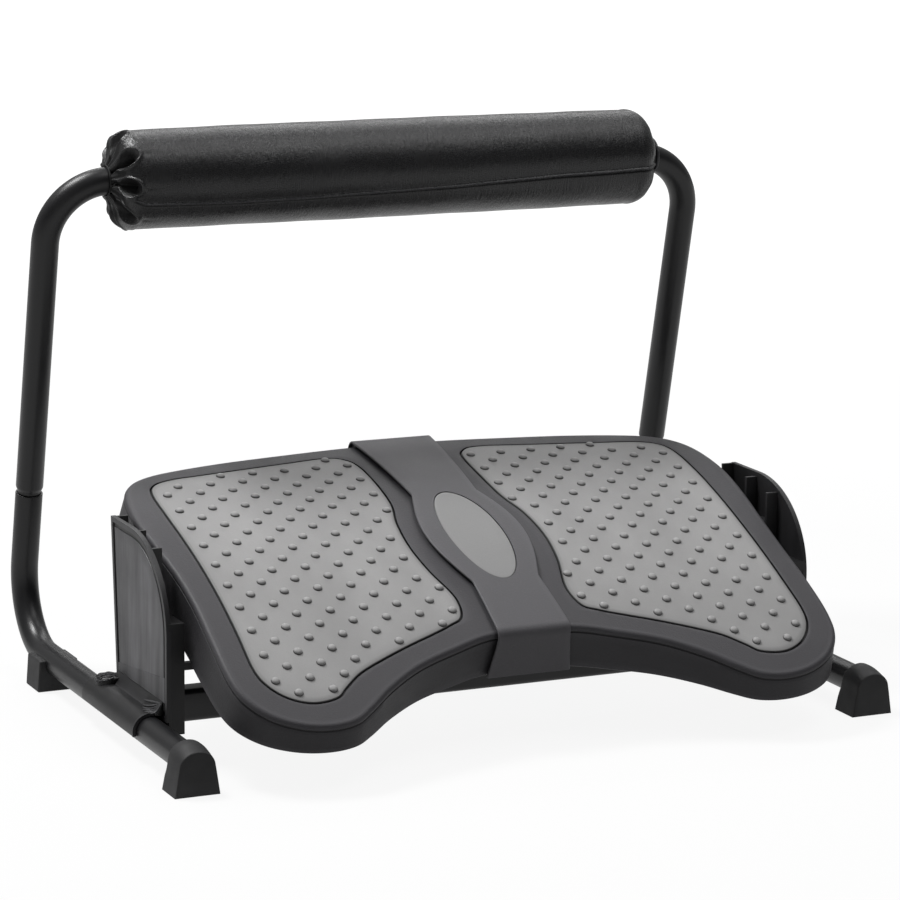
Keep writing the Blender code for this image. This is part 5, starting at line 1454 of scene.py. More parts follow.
@dataclass
class Pads:
    """The two grey pads with their staggered domed bumps."""

    base: Platform
    shells: Shells
    thickness: float = 0.0019
    proud: float = 0.0002
    set_in: float = 0.0012
    edge: float = 0.0006
    half_pitch: Pair = (0.01355, 0.0134)
    left_first: Pair = (-0.0008, 0.05795)
    right_first: Pair = (0.0004, 0.0596)
    margin: float = 0.0052
    bump_profile: tuple[Pair, ...] = (
        (0.00375, -0.0004), (0.0036, 0.0001), (0.0032, 0.0012), (0.0022, 0.0020), (0.0009, 0.0023))
    bump_sides: int = 12

    def sheet(self) -> Surface:
        """The right pad's sheet, its top edge rounded, over the dome.

        Returns:
            The sheet in the platform's frame.
        """
        outline = grown(self.shells.curve(PAD_SHARES), -self.set_in)
        middle = np.array(self.shells.centre)
        over, inner = self.base.over, grown(outline, -self.edge)
        rings = [over(between(middle, outline, share), -self.thickness)
                 for share in np.linspace(0.05, 1.0, 6)]
        rings += [over(grown(outline, -self.edge * (1 - math.cos(turn))),
                       self.proud - self.edge * (1 - math.sin(turn)))
                  for turn in np.linspace(0.0, math.pi / 2, 4)]
        rings += [over(between(middle, inner, share), self.proud) for share in np.linspace(0.97, 0.04, 18)]
        top = float(self.base.dome(middle[1]))
        made = body(np.stack(rings), first=np.array((*middle, top - self.thickness)),
                    last=np.array((*middle, top + self.proud)))
        # Painted shade along the pad's side and rounded top edge, through the bump mark.
        dark = np.concatenate([np.zeros(5), np.full(4, 1.6), (0.5, 0.1), np.zeros(17)])
        return made.marked("bump", np.append(np.repeat(dark, len(outline)), (0.0, 0.0)))

    def centres(self, side: Side) -> Array:
        """Places of the bumps on one pad: a staggered pattern, nearly a mirror image of the other pad's.

        A place is kept when a ray from it crosses the pad's outline, moved in by the margin, an odd
        number of times.

        Args:
            side: Which pad.

        Returns:
            Places as rows of (x, w).
        """
        limit = grown(self.shells.curve(PAD_SHARES), -self.margin) * (side.value, 1)
        first, pitch = self.right_first if side is Side.RIGHT else self.left_first, self.half_pitch
        row, column = np.mgrid[-40:40, -40:40]
        staggered = (row + column) % 2 == 0
        places = np.stack([first[0] + column * pitch[0], first[1] + row * pitch[1]], axis=-1)[staggered]
        x, w = places[:, :1], places[:, 1:]
        from_x, from_w = limit.T
        to_x, to_w = np.roll(limit, -1, axis=0).T
        spans = (from_w > w) != (to_w > w)
        cross = from_x + (w - from_w) * (to_x - from_x) / np.where(spans, to_w - from_w, 1.0)
        within = (np.count_nonzero(spans & (cross > x), axis=1) % 2 == 1) & (side.value * x[:, 0] > 0)
        return places[within]

    def bumps(self, centres: Array) -> Surface:
        """All bumps of a pad as one surface.

        A bump's ring holds centre + radius * (cos a across, sin a up the slope) + height * normal.

        Args:
            centres: Their places.

        Returns:
            The bumps, each closed below, in the platform's frame.
        """
        slope = centres[:, 1] / self.base.dome_radius
        normal = np.stack([np.zeros(len(slope)), slope, np.sqrt(1 - slope ** 2)], axis=1)
        along = np.stack([np.zeros(len(slope)), normal[:, 2], -slope], axis=1)
        seat = self.base.over(centres, self.proud)
        radius, height = np.array(self.bump_profile).T
        points = (seat[:, None, None, :]
                  + radius[:, None, None] * spokes(even_turns(self.bump_sides), ACROSS, along)[:, None]
                  + height[:, None, None] * normal[:, None, None, :])
        count, rows, sides = points.shape[:3]
        one = body(points[0])
        starts = (np.arange(count) * rows * sides)[:, None, None]
        faces = [(kind + starts).reshape(-1, kind.shape[1]) for kind in one.faces]
        made = Surface(points.reshape(-1, 3), faces)
        # Bump mark: painted shade round each bump's foot, a painted highlight on its top.
        rim = np.clip(1.6 - height / 0.0008, -0.6, 1.6)
        return made.marked("bump", np.tile(np.repeat(rim, sides), count))

    def build(self, finishes: Finishes) -> None:
        """Makes both pads."""
        for side in Side:
            centres = self.centres(side)
            whole = self.base.in_world(joined(self.sheet().on(side), self.bumps(centres)))
            dress(to_object(f"{side.label}_bump_pad", whole), finishes.pad, "platform", "pad_rubber",
                  f"{side.label}_insert")
            LOG.info("%s pad: %d bumps", side.label, len(centres))


@dataclass
class CentreCover:
    """The raised cover over the seam, clipped over both edges, with its plain oval."""

    base: Platform
    wall: float = 0.0022
    play: float = 0.0006
    raised: float = 0.0045
    width_back: float = 0.035
    width_waist: float = 0.028
    width_front: float = 0.0305
    bulge: float = 0.0135
    bulge_w: float = 0.011
    bulge_reach: float = 0.061
    edge: float = 0.0011
    undercut: float = 0.0026
    slab: float = 0.0017
    stations: int = 90
    oval_width: float = 0.0232
    oval_length: float = 0.0609
    oval_deep: float = 0.0014
    oval_gap: float = 0.0006
    oval_points: int = 96

    @property
    def front(self) -> float:
        """Place of the platform's front edge at the seam."""
        return self.base.half_depth * RIM_SHARES[0][1]

    @property
    def back(self) -> float:
        """Place of the platform's back edge at the seam."""
        return self.base.half_depth * RIM_SHARES[RIM_CORNERS[1]][1]

    def half_width(self, w: Array) -> Array:
        """Half width along the cover: tapered bands, waisted at both ends of a cosine bulge."""
        run = w - self.bulge_w
        swell = np.where(np.abs(run) < self.bulge_reach,
                         np.cos(math.pi / 2 * run / self.bulge_reach), 0.0)
        back = np.clip((run - self.bulge_reach) / (self.base.half_depth - self.bulge_w - self.bulge_reach),
                       0.0, 1.0)
        front = np.clip((-run - self.bulge_reach) / (-self.front + self.bulge_w - self.bulge_reach),
                        0.0, 1.0)
        return (self.width_waist + self.bulge * swell + (self.width_back - self.width_waist) * back
                + (self.width_front - self.width_waist) * front)

    def path(self) -> Array:
        """Rows of (w, h, half width) from the front flap's foot, over the top, to the back flap's foot."""
        base, rows = self.base, []
        for edge, way in ((self.front, -1), (self.back, 1)):
            rim = edge - way * base.rim_round
            top, out = float(base.dome(rim)), edge + way * self.play
            drop, width = top - base.rim_round, float(self.half_width(rim))
            share = np.linspace(0.0, 1.0, 8)
            flap = np.stack([out + way * base.skirt_flare * (1 - share), drop * share,
                             base.cover_foot + (width - base.cover_foot) * share], axis=1)
            turn = np.linspace(math.pi / 2, 0.0, 9)[1:-1]
            bend = np.stack([rim + (out - rim) * np.sin(turn), top - base.rim_round * (1 - np.cos(turn)),
                             np.full(len(turn), width)], axis=1)
            rows.append(np.vstack([flap, bend]))
        w = np.linspace(self.front + base.rim_round, self.back - base.rim_round, self.stations)
        middle = np.stack([w, base.dome(w), self.half_width(w)], axis=1)
        return np.vstack([rows[0], middle, rows[1][::-1]])

    def strip(self) -> Surface:
        """The cover: a channel section carried along the path, round on top, its sides undercut.

        Returns:
            The surface in the platform's frame.
        """
        path = self.path()
        ahead = np.gradient(path[:, :2], axis=0)
        ahead /= np.linalg.norm(ahead, axis=1, keepdims=True)
        up = np.stack([np.zeros(len(path)), -ahead[:, 1], ahead[:, 0]], axis=1)
        place = np.stack([np.zeros(len(path)), path[:, 0], path[:, 1]], axis=1)
        turn = np.linspace(0.0, math.pi / 2, 5)
        high, low = self.raised, 0.0003
        out = self.edge * (1 - np.cos(turn))
        rise = high - self.edge * (1 - np.sin(turn))
        side = path[:, 2:3]
        flat = np.linspace(-1.0, 1.0, 13)[1:-1]
        crest, shy = side - self.edge, side - self.undercut
        inner = shy - self.wall
        x = np.hstack([-shy, -shy, -side, -side + out, crest * flat, side - out[::-1], side, shy, shy, inner,
                       inner, -inner, -inner])
        step, rim = high - self.slab, [0.7] * 5
        level = np.concatenate([[low, step, step + 0.0003], rise, np.full(11, high), rise[::-1],
                                [step + 0.0003, step, low, low, high - self.wall, high - self.wall, low]])
        # Edge marks: painted shade on the undercut sides, a painted highlight on the rounded top edges (rim).
        edge = np.concatenate([[-1, -1, -0.3], rim, np.zeros(11), rim, [-0.3, -1, -1], np.zeros(4)])
        rings = place[:, None, :] + x[:, :, None] * ACROSS + level[:, None] * up[:, None, :]
        return body(rings).marked("edge", np.tile(edge, len(path)))

    def oval(self, spare: float, low: float, high: float, edge: float = 0.0) -> Surface:
        """An oval sheet between two heights over the dome.

        Args:
            spare: How far its edge stands outside the oval.
            low: Height of its underside over the dome.
            high: Height of its top.
            edge: Radius of its top edge.

        Returns:
            The surface in the platform's frame.
        """
        turns = even_turns(self.oval_points)
        outline = np.stack([(self.oval_width + spare) * np.cos(turns),
                            (self.oval_length + spare) * np.sin(turns)], axis=1)
        plan = [(share, 0.0, low) for share in np.linspace(0.08, 1.0, 6)]
        plan += [(1.0, edge * (1 - math.cos(t)), high - edge * (1 - math.sin(t)))
                 for t in (0.0, 0.5, 1.0, math.pi / 2)]
        plan += [(share, edge, high) for share in np.linspace(0.94, 0.08, 9)]
        rings = [self.base.over(grown(outline, -inset) * share + (0.0, self.bulge_w), height)
                 for share, inset, height in plan]
        middle = float(self.base.dome(self.bulge_w))
        return body(np.stack(rings), first=np.array((0.0, self.bulge_w, middle + low)),
                    last=np.array((0.0, self.bulge_w, middle + high)))

    def build(self, finishes: Finishes) -> None:
        """Makes the cover with the oval's recess cut into it, and the oval."""
        cover = to_object("seam_cover", self.base.in_world(self.strip()))
        floor = self.raised - self.oval_deep
        cutter = to_object("oval_cutter", self.base.in_world(
            self.oval(self.oval_gap, floor - 0.0003, self.raised + 0.002)))
        step = cover.modifiers.new("recess", "BOOLEAN")
        step.operation, step.solver, step.object = "DIFFERENCE", "EXACT", cutter
        bake(cover)
        bpy.data.objects.remove(cutter)
        cover.data.shade_smooth()
        cover.data.set_sharp_from_angle(angle=SHARP)
        dress(cover, finishes.cover, "platform", "cover_plastic", "centre_cover")
        oval = self.base.in_world(self.oval(0.0, floor, self.raised - 0.0003, 0.0005))
        dress(to_object("plain_oval", oval), finishes.oval, "platform", "inlay_plastic", "oval_inlay")


@dataclass
class AxleSet:
    """The axle, its trunnions in the pockets, and the joiner plate under the seam."""

    base: Platform
    towers: Towers
    axle_radius: float = 0.006
    axle_end: float = 0.2645
    trunnion_radius: float = 0.015
    trunnion_inner: float = 0.2590
    trunnion_outer: float = 0.2678
    axle_round: float = 0.0008
    dish: float = 0.0008
    dish_radii: Triple = (0.011, 0.0105, 0.002)
    joiner: Triple = (0.022, 0.130, 0.004)
    joiner_drop: float = 0.0113

    def build(self, finishes: Finishes) -> None:
        """Makes the axle, both trunnions and the joiner."""
        centre = np.array((0.0, self.base.axle_y, self.base.axle_z))
        end, radius, soft = self.axle_end, self.axle_radius, self.axle_round
        profile = [(-end, radius - soft), (soft - end, radius), (end - soft, radius), (end, radius - soft)]
        dress(to_object("cross_axle", turned(centre, ACROSS, profile)), finishes.steel, "axle_carrier",
              "steel_axle", "axle")
        low, high, wide = self.trunnion_inner, self.trunnion_outer, self.trunnion_radius
        bore, dish, (dish_rim, dish_floor, dish_hub) = self.axle_radius + 0.0003, self.dish, self.dish_radii
        profile = [(low, bore), (low, wide - 0.001), (low + 0.0003, wide - 0.0003), (low + 0.001, wide),
                   (high - 0.001, wide), (high - 0.0003, wide - 0.0003), (high, wide - 0.001),
                   (high, dish_rim), (high - dish, dish_floor), (high - dish, dish_hub)]
        dress_pair("pivot_knob", turned(centre, ACROSS, profile), finishes.tower, "axle_carrier",
                   "tower_plastic", "trunnion")
        half, length, thick = self.joiner
        top = self.base.axle_h - self.joiner_drop
        plate = block((-half, self.base.axle_w - length / 2, top - thick),
                      (half, self.base.axle_w + length / 2, top))
        dress(to_object("joiner_plate", self.base.in_world(plate)), finishes.tower, "platform",
              "tower_plastic", "centre_joiner", edges=Edges(0.0008, 3))


# ---- roller


@dataclass
class Roller:
    """The padded calf roller: leatherette gathered round the bar at both ends, sewn along its front."""

    tubes: TubeFrame
    radius: float = 0.0396
    left_end: Triple = (0.2290, 0.2355, 0.0130)
    right_end: Triple = (0.2355, 0.2445, 0.0155)
    mouths: Pair = (0.0122, 0.0130)
    crown: float = 0.0005
    columns: int = 430
    fullness: float = 0.75
    lump: float = 0.00022
    liner: Triple = (0.2195, 0.0116, 0.0131)
    # The gathered end: hollows, the valleys between them, creases and small tongues beside each.
    hollow_turns: tuple[float, ...] = (52.0, 93.0, 137.0, 184.0, 226.0, 272.0, 318.0, 5.0)
    hollow_depths: tuple[float, ...] = (1.0, 1.0, 0.8, 0.85, 0.7, 0.9, 0.8, 0.7)
    hollow_place: float = -0.0052
    hollow_depth: float = 0.0105
    hollow_along: float = 0.0125
    hollow_around: float = 0.0082
    hollow_rim: float = 0.0013
    corner_run: float = 0.008
    valley_depth: float = 0.0034
    valley_width: float = 0.0016
    crease_depth: float = 0.0007
    crease_width: float = 0.0020
    crease_start: float = 0.009
    crease_rise: float = 0.004
    crease_full: float = 0.010
    crease_fade: float = 0.009
    tongue_height: float = 0.0010
    tongue_apart: float = 0.0034
    tongue_width: float = 0.0012
    tongue_place: float = -0.008
    tongue_length: float = 0.0030
    ripple: float = 0.0005
    # The sewn seam: its places as (x, degrees from the top), the raised lap, the line under it, the dip.
    seam_focus: float = 0.4
    seam_places: tuple[Pair, ...] = (
        (-0.2350, 104.0), (-0.2285, 106.0), (-0.221, 110.0), (-0.213, 114.0), (-0.150, 116.0),
        (-0.086, 115.0), (0.044, 109.0), (0.141, 102.0), (0.196, 100.0), (0.2285, 98.0), (0.2400, 96.0))
    lap: float = 0.0016
    lap_width: float = 0.0009
    lap_place: float = -0.0003
    under: float = 0.0008
    under_width: float = 0.0010
    under_place: float = 0.0014
    dip: float = 0.0013
    dip_width: float = 0.0085
    # The Cloth run, and the grid that its moves are averaged over.
    voxel: float = 0.005
    slack: float = 0.0025
    stuffed_bore: float = 0.0135
    pressure: float = 4.0
    frames: int = 20
    cap: float = 0.0009
    smoothing: float = 0.0075
    reading_end: float = 0.235
    grid: tuple[int, int] = (95, 50)

    @property
    def centre(self) -> Array:
        """The middle of the bar inside the roller."""
        return self.tubes.upright(self.tubes.bar_height) * (0, 1, 1)

    def about_bar(self, x: Array, radius: Array, turn: Array) -> Array:
        """Points at places along the bar, by radius and by angle from the top towards the user."""
        _, y, z = self.centre
        return np.stack(np.broadcast_arrays(x, y - radius * np.sin(turn), z + radius * np.cos(turn)), axis=-1)

    def polar(self, points: Array) -> tuple[Array, Array]:
        """Each point's distance from the bar's axis, and its angle from the top towards the user."""
        _, y, z = self.centre
        return np.hypot(points[:, 1] - y, points[:, 2] - z), np.arctan2(y - points[:, 1], points[:, 2] - z)

    def half(self, end: Triple, mouth: float, rows: tuple[int, int, int, int]) -> dict[str, Array]:
        """One half of the plain outline, from the mouth over the rounded corner to the middle.

        The end face swells towards the mouth as (1 - s)^1.5; the corner is a quarter round.

        Args:
            end: Where the body ends, where the mouth is, and the corner's radius.
            mouth: The mouth's radius.
            rows: Rows on the face, the corner, the gathered stretch and the rest.

        Returns:
            Distance from the middle, radius, the normal's two parts, and the distance from the middle
            of the corner, negative on the face.
        """
        edge, mouth_x, curve = end
        corner, run, middle = self.radius - curve, edge - curve, curve * math.pi / 4
        face = np.linspace(0.0, 1.0, rows[0])[:-1]
        turn = np.linspace(0.0, math.pi / 2, rows[1])
        near = np.concatenate([np.linspace(0.0, 0.045, rows[2])[1:], np.linspace(0.045, run, rows[3])[1:]])
        barrel = self.radius - self.crown * ((run - near) / run) ** 2
        return {"x": np.concatenate([edge + (mouth_x - edge) * (1 - face) ** 1.5,
                                     run + curve * np.cos(turn), run - near]),
                "radius": np.concatenate([mouth + (corner - mouth) * face,
                                          corner + curve * np.sin(turn), barrel]),
                "nx": np.concatenate([0 * face + 1, np.cos(turn), 0 * near]),
                "nr": np.concatenate([0 * face, np.sin(turn), 0 * near + 1]),
                "place": np.concatenate([-(middle + (corner - mouth) * (1 - face)),
                                         curve * turn - middle, middle + near])}

    def meridian(self) -> dict[str, Array]:
        """The plain outline that the fabric follows from the left mouth to the right one.

        Returns:
            The halves' arrays joined, x and nx negative on the left, with end -1 or 1 for the near end.
        """
        left = self.half(self.left_end, self.mouths[0], (26, 32, 42, 40))
        right = self.half(self.right_end, self.mouths[1], (12, 22, 18, 34))
        made = {key: np.concatenate([left[key] * (-1 if key in ("x", "nx") else 1), right[key][-2::-1]])
                for key in left}
        made["end"] = np.concatenate([np.full(len(left["x"]), -1.0), np.ones(len(right["x"]) - 1)])
        return made

    def folds(self, place: Array, turn: Array, radius: Array, rest: Array) -> Array:
        """How far the gathered fabric stands off its plain outline at an end.

        Each hollow is (1 - q^2)^1.2 deep, where q is the elliptical distance from its middle, inside a
        rim raised by a bell curve at q = 1.06. From each hollow a narrow valley runs to the mouth and a
        fine crease fades along the roller.

        Args:
            place: Distance from the rounded corner, by row.
            turn: Angle round the roller from its top towards the user.
            radius: Plain radius, by row.
            rest: The weight of the folds, by row.

        Returns:
            Distance outwards, for each point.
        """
        made = np.zeros_like(turn)
        towards_mouth = rising(-place, self.corner_run / 2, self.corner_run)
        spread = 0.5 * (radius + self.radius)
        for centre, depth in zip(self.hollow_turns, self.hollow_depths):
            off = (turn - math.radians(centre) + math.pi) % TURN - math.pi
            around = off * spread
            q = np.sqrt(((place - self.hollow_place) / self.hollow_along) ** 2
                        + (around / self.hollow_around) ** 2)
            made -= depth * self.hollow_depth * np.clip(1 - q ** 2, 0.0, 1.0) ** 1.2
            made += depth * self.hollow_rim * bell(q, 1.06, 0.13)
            made -= depth * self.valley_depth * bell(off * radius, 0.0, self.valley_width) * towards_mouth
            fade = np.exp(-np.clip(place - self.crease_full, 0, None) / self.crease_fade)
            crease = bell(around, 0.0, self.crease_width) * fade
            made -= depth * self.crease_depth * crease * rising(place, self.crease_start, self.crease_rise)
            for way in (-1, 1):
                tongue = np.exp(-((around - way * self.tongue_apart) / self.tongue_width) ** 2
                                - ((place - self.tongue_place) / self.tongue_length) ** 2)
                made += depth * self.tongue_height * tongue
        wave = np.cos(17 * turn + 0.7) * 0.5 + np.cos(29 * turn + 2.1) * 0.5
        made += self.ripple * wave * towards_mouth
        return made * rest

    def puckers(self, x: Array, turn: Array) -> Array:
        """How the stuffed cover stands off its plain form, from a short Cloth run.

        The plain body is remeshed, pinned at its mouths and bore, and blown up without gravity. The
        radial moves of its outer points, less their median, are averaged over a grid of x and angle
        with bell-curve weights, capped, and read by bilinear interpolation.

        Args:
            x: Place along the bar, for each point wanted.
            turn: Angle from the top towards the user, for each point wanted.

        Returns:
            Distance outwards for each point.
        """
        line = self.meridian()
        profile = np.vstack([np.stack([line["x"], line["radius"] - self.slack], axis=1)[::3],
                             [(self.right_end[0] - 0.01, self.stuffed_bore),
                              (0.01 - self.left_end[0], self.stuffed_bore)]])
        rings = self.about_bar(profile[:, :1], profile[:, 1:], even_turns(96))
        stuffed = to_object("stuffing", body(rings, wrap=True))
        even = stuffed.modifiers.new("even faces", "REMESH")
        even.mode, even.voxel_size = "VOXEL", self.voxel
        bake(stuffed)
        start = vertex_places(stuffed)
        reach, angle = self.polar(start)
        held = stuffed.vertex_groups.new(name="held")
        held.add(np.flatnonzero(reach < 0.55 * self.radius).tolist(), 1.0, "REPLACE")
        cloth = stuffed.modifiers.new("cloth", "CLOTH")
        rules = cloth.settings
        rules.use_pressure, rules.uniform_pressure_force = True, self.pressure
        rules.effector_weights.gravity = 0.0
        rules.vertex_group_mass = "held"
        rules.quality, rules.bending_stiffness, rules.shrink_min = 6, 0.2, -0.03
        cloth.point_cache.frame_end = self.frames
        for number in range(1, self.frames + 1):
            bpy.context.scene.frame_set(number)
        bake(stuffed)
        outer = reach > 0.8 * self.radius
        swollen = self.polar(vertex_places(stuffed))[0][outer] - reach[outer]
        bpy.context.scene.frame_set(1)
        bpy.data.objects.remove(stuffed)
        LOG.info("cloth: %d points, radial moves %.4f to %.4f", len(start), swollen.min(), swollen.max())
        rows, columns = self.grid
        across, around = np.linspace(-self.reading_end, self.reading_end, rows), even_turns(columns)
        near = bell(across[:, None], start[None, outer, 0], self.smoothing)
        swing = (around[:, None] - angle[None, outer] + math.pi) % TURN - math.pi
        beside = bell(swing * self.radius, 0.0, self.smoothing)
        relief = (near * (swollen - np.median(swollen))) @ beside.T / (near @ beside.T + 1e-9)
        relief = np.clip(relief, -self.cap, self.cap)
        u = np.clip((x - across[0]) / (across[1] - across[0]), 0, rows - 1.001)
        v = (turn % TURN) / (around[1] - around[0])
        i, j = u.astype(int), v.astype(int) % columns
        s, t, k = u - i, v - np.floor(v), (j + 1) % columns
        return ((1 - s) * (1 - t) * relief[i, j] + s * (1 - t) * relief[i + 1, j]
                + (1 - s) * t * relief[i, k] + s * t * relief[i + 1, k])

    def skin(self) -> Surface:
        """The cover's closed surface about the bar.

        A point is (x + d nx, axis - (r + d nr) sin a, axis + (r + d nr) cos a), with d the folds plus a
        soft dip and a fine raised lap along the seam, and columns drawn together at the seam.

        Returns:
            The surface in world places.
        """
        line = {key: values[:, None] for key, values in self.meridian().items()}
        bar_x, place, radius, on_left = line["x"], line["place"], line["radius"], line["end"] < 0
        u = np.linspace(-1.0, 1.0, self.columns, endpoint=False)
        offset = math.pi * (self.seam_focus * u + (1 - self.seam_focus) * u ** 3)
        turn = np.radians(np.interp(bar_x, *np.array(self.seam_places).T)) + offset
        stand = self.folds(place, turn, radius, np.where(on_left, 1.0, 0.04))
        across = offset * radius
        on_body = rising(place, -self.corner_run / 2, self.corner_run)
        lasting = np.where(on_left, on_body, np.clip((place + 0.020) / 0.010, 0.15, 1.0))
        dip = bell(across, 0.0, self.dip_width) * self.dip
        lap = bell(across, self.lap_place, self.lap_width)
        below = bell(across, self.under_place, self.under_width) * self.under
        stand += (lap * self.lap - dip - below) * lasting
        lumps = (np.cos(3 * turn + 9 * bar_x / self.radius * 0.31) * np.cos(bar_x / 0.031 + 1.3)
                 * self.lump)
        stand += (lumps + self.puckers(np.broadcast_to(bar_x, turn.shape), turn)) * on_body
        # Deep mark: painted shade in the hollows, on the gathered ends and in the bore; a painted highlight
        # along the seam's lap where it is below nought.
        gathered = rising(-place, 0.002, 0.006) * 0.75
        deep = np.clip(np.maximum((-stand - 0.001) / 0.004, gathered - np.clip(stand, 0, None) / 0.0016),
                       0, 1)
        deep = np.where(on_left, deep, 0.6 * gathered)
        deep = deep - 0.6 * lap * lasting * on_body * (deep < 0.2)
        points = self.about_bar(bar_x + stand * line["nx"], radius + stand * line["nr"], turn)
        bore = self.about_bar(bar_x[[-1, 0]] * 0.95, np.array(self.mouths[::-1])[:, None], turn[[-1, 0]])
        made = body(np.concatenate([points, bore]), wrap=True)
        return made.marked("deep", np.append(deep.ravel(), np.ones(2 * self.columns)))

    def hem(self, x: float, bore: float, thick: float) -> Surface:
        """The rolled hem that closes round the bar: a ring of round section.

        Args:
            x: Its place along the bar.
            bore: Its inner radius.
            thick: Radius of its section.

        Returns:
            The ring's surface.
        """
        turns = even_turns(14)
        profile = np.stack([x + thick * np.cos(turns), bore + thick * (1 + np.sin(turns))], axis=1)
        return turned(self.centre, ACROSS, profile, 64, wrap=True)

    def build(self, finishes: Finishes) -> None:
        """Makes the padded cover with its hems, and the liner inside it."""
        # The left hem gets painted shade, the right hem a painted highlight, through the deep mark.
        whole = joined(self.skin(), self.hem(-self.left_end[1], 0.0115, 0.0007).marked("deep", 0.9),
                       self.hem(self.right_end[1], self.mouths[1] - 0.0002, 0.0014).marked("deep", -0.35))
        cover = to_object("calf_roller", whole, math.radians(80))
        dress(cover, finishes.leather, "roller", "leatherette", "roller_cover", "roller_foam")
        length, bore, out = self.liner
        profile = [(-length, bore), (-length, out), (length, out), (length, bore)]
        liner = turned(self.centre, ACROSS, profile, wrap=True)
        dress(to_object("liner_sleeve", liner), finishes.tower, "roller", "tower_plastic", "roller_liner")


# ---- fasteners


@dataclass
class Fastener:
    """A zinc plated pan-head screw with a cross recess."""

    seat: Array
    axis: Array
    reach: float
    head: float = 0.004
    height: float = 0.0024
    shank: float = 0.002
    sides: int = 48

    def surface(self) -> Surface:
        """Head, cross recess and shank as one turned solid.

        The recess ring's radius is the smaller of the arm's length and its half width over the smaller
        of sine and cosine, which draws a plus.

        Returns:
            The screw's surface.
        """
        axis = np.asarray(self.axis, float) / np.linalg.norm(self.axis)
        turns = (np.arange(self.sides) + 0.5) * (TURN / self.sides)
        ring = spokes(turns, *ring_frame(axis))
        arm = 0.00048 / np.maximum(np.minimum(np.abs(np.sin(turns)), np.abs(np.cos(turns))), 1e-6)
        cross = np.minimum(arm, 0.0021)
        dome = np.linspace(0.0, math.pi / 2, 6)
        plan = [(0.0011 - self.height, cross * 0.7), (-self.height * 0.97, cross)]
        plan += [(-self.height + 0.55 * self.height * (1 - math.cos(t)),
                  0.0024 + (self.head - 0.0024) * math.sin(t)) for t in dome]
        plan += [(-0.0002, self.head), (0.0, self.head - 0.0002), (0.0, self.shank),
                 (self.reach - 0.0008, self.shank), (self.reach, self.shank * 0.6)]
        rings = [self.seat + axis * run + np.broadcast_to(radius, turns.shape)[:, None] * ring
                 for run, radius in plan]
        return body(np.stack(rings))


@dataclass
class Fasteners:
    """All screws, each in the place of its CAD node."""

    tubes: TubeFrame
    feet: Feet
    towers: Towers
    crossbar: Crossbar
    base: Platform
    joint_drop: float = 0.018
    joint_reach: float = 0.0072
    heel_seat: float = 0.0032
    heel_reach: float = 0.0152
    bar_seat: Pair = (0.2626, 0.0197)
    bar_reach: float = 0.0122
    saddle_shares: Pair = (0.38, 0.86)
    saddle_reach: float = 0.0201
    joiner_drop: float = 0.0156
    joiner_reach: float = 0.010
    let_in: float = 0.0003

    def places(self) -> dict[str, tuple[Array, Array, float, str]]:
        """Seat, axis, reach and body of each right-hand screw.

        Returns:
            Those four by the screw's name.
        """
        tubes, towers = self.tubes, self.towers
        away = np.array((0.0, math.cos(tubes.lean), math.sin(tubes.lean)))
        seat = (tubes.upright(tubes.joint_height) - tubes.up * self.joint_drop
                + away * (tubes.radius + self.let_in))
        heel_y = self.feet.rear_y + self.feet.rear_depth / 2
        bar_y = self.crossbar.front + self.crossbar.depth / 2
        bar_x, bar_z = self.bar_seat
        made = {"joint_screw": (seat, -away, self.joint_reach, "frame"),
                "rear_foot_screw": (np.array((tubes.rail_x, heel_y, self.heel_seat)), UP, self.heel_reach,
                                    "frame"),
                "crossbar_screw": (np.array((bar_x, bar_y, bar_z)), UP, self.bar_reach, "frame")}
        rear = towers.rear_edge(towers.foot)
        for name, share in zip(("front", "rear"), self.saddle_shares):
            seat = np.array((towers.block_x - self.let_in, between(towers.front, rear, share),
                             tubes.rail_height))
            made[f"saddle_screw_{name}"] = (seat, ACROSS, self.saddle_reach, "frame")
        base = self.base
        for name, way in (("front", -1), ("back", 1)):
            seat = np.array((base.screw_x, base.axle_w + way * base.screw_spread,
                             base.axle_h - self.joiner_drop))
            made[f"joiner_screw_{name}"] = (seat, UP, self.joiner_reach, "platform")
        return made

    def build(self, finishes: Finishes) -> None:
        """Makes every screw on both sides."""
        for name, (seat, axis, reach, carrier) in self.places().items():
            surface = Fastener(seat, axis, reach).surface()
            if carrier == "platform":
                surface = self.base.in_world(surface)
            dress_pair(name.replace("screw", "fastener"), surface, finishes.zinc, carrier, "zinc_screw", name)


# ---- studio


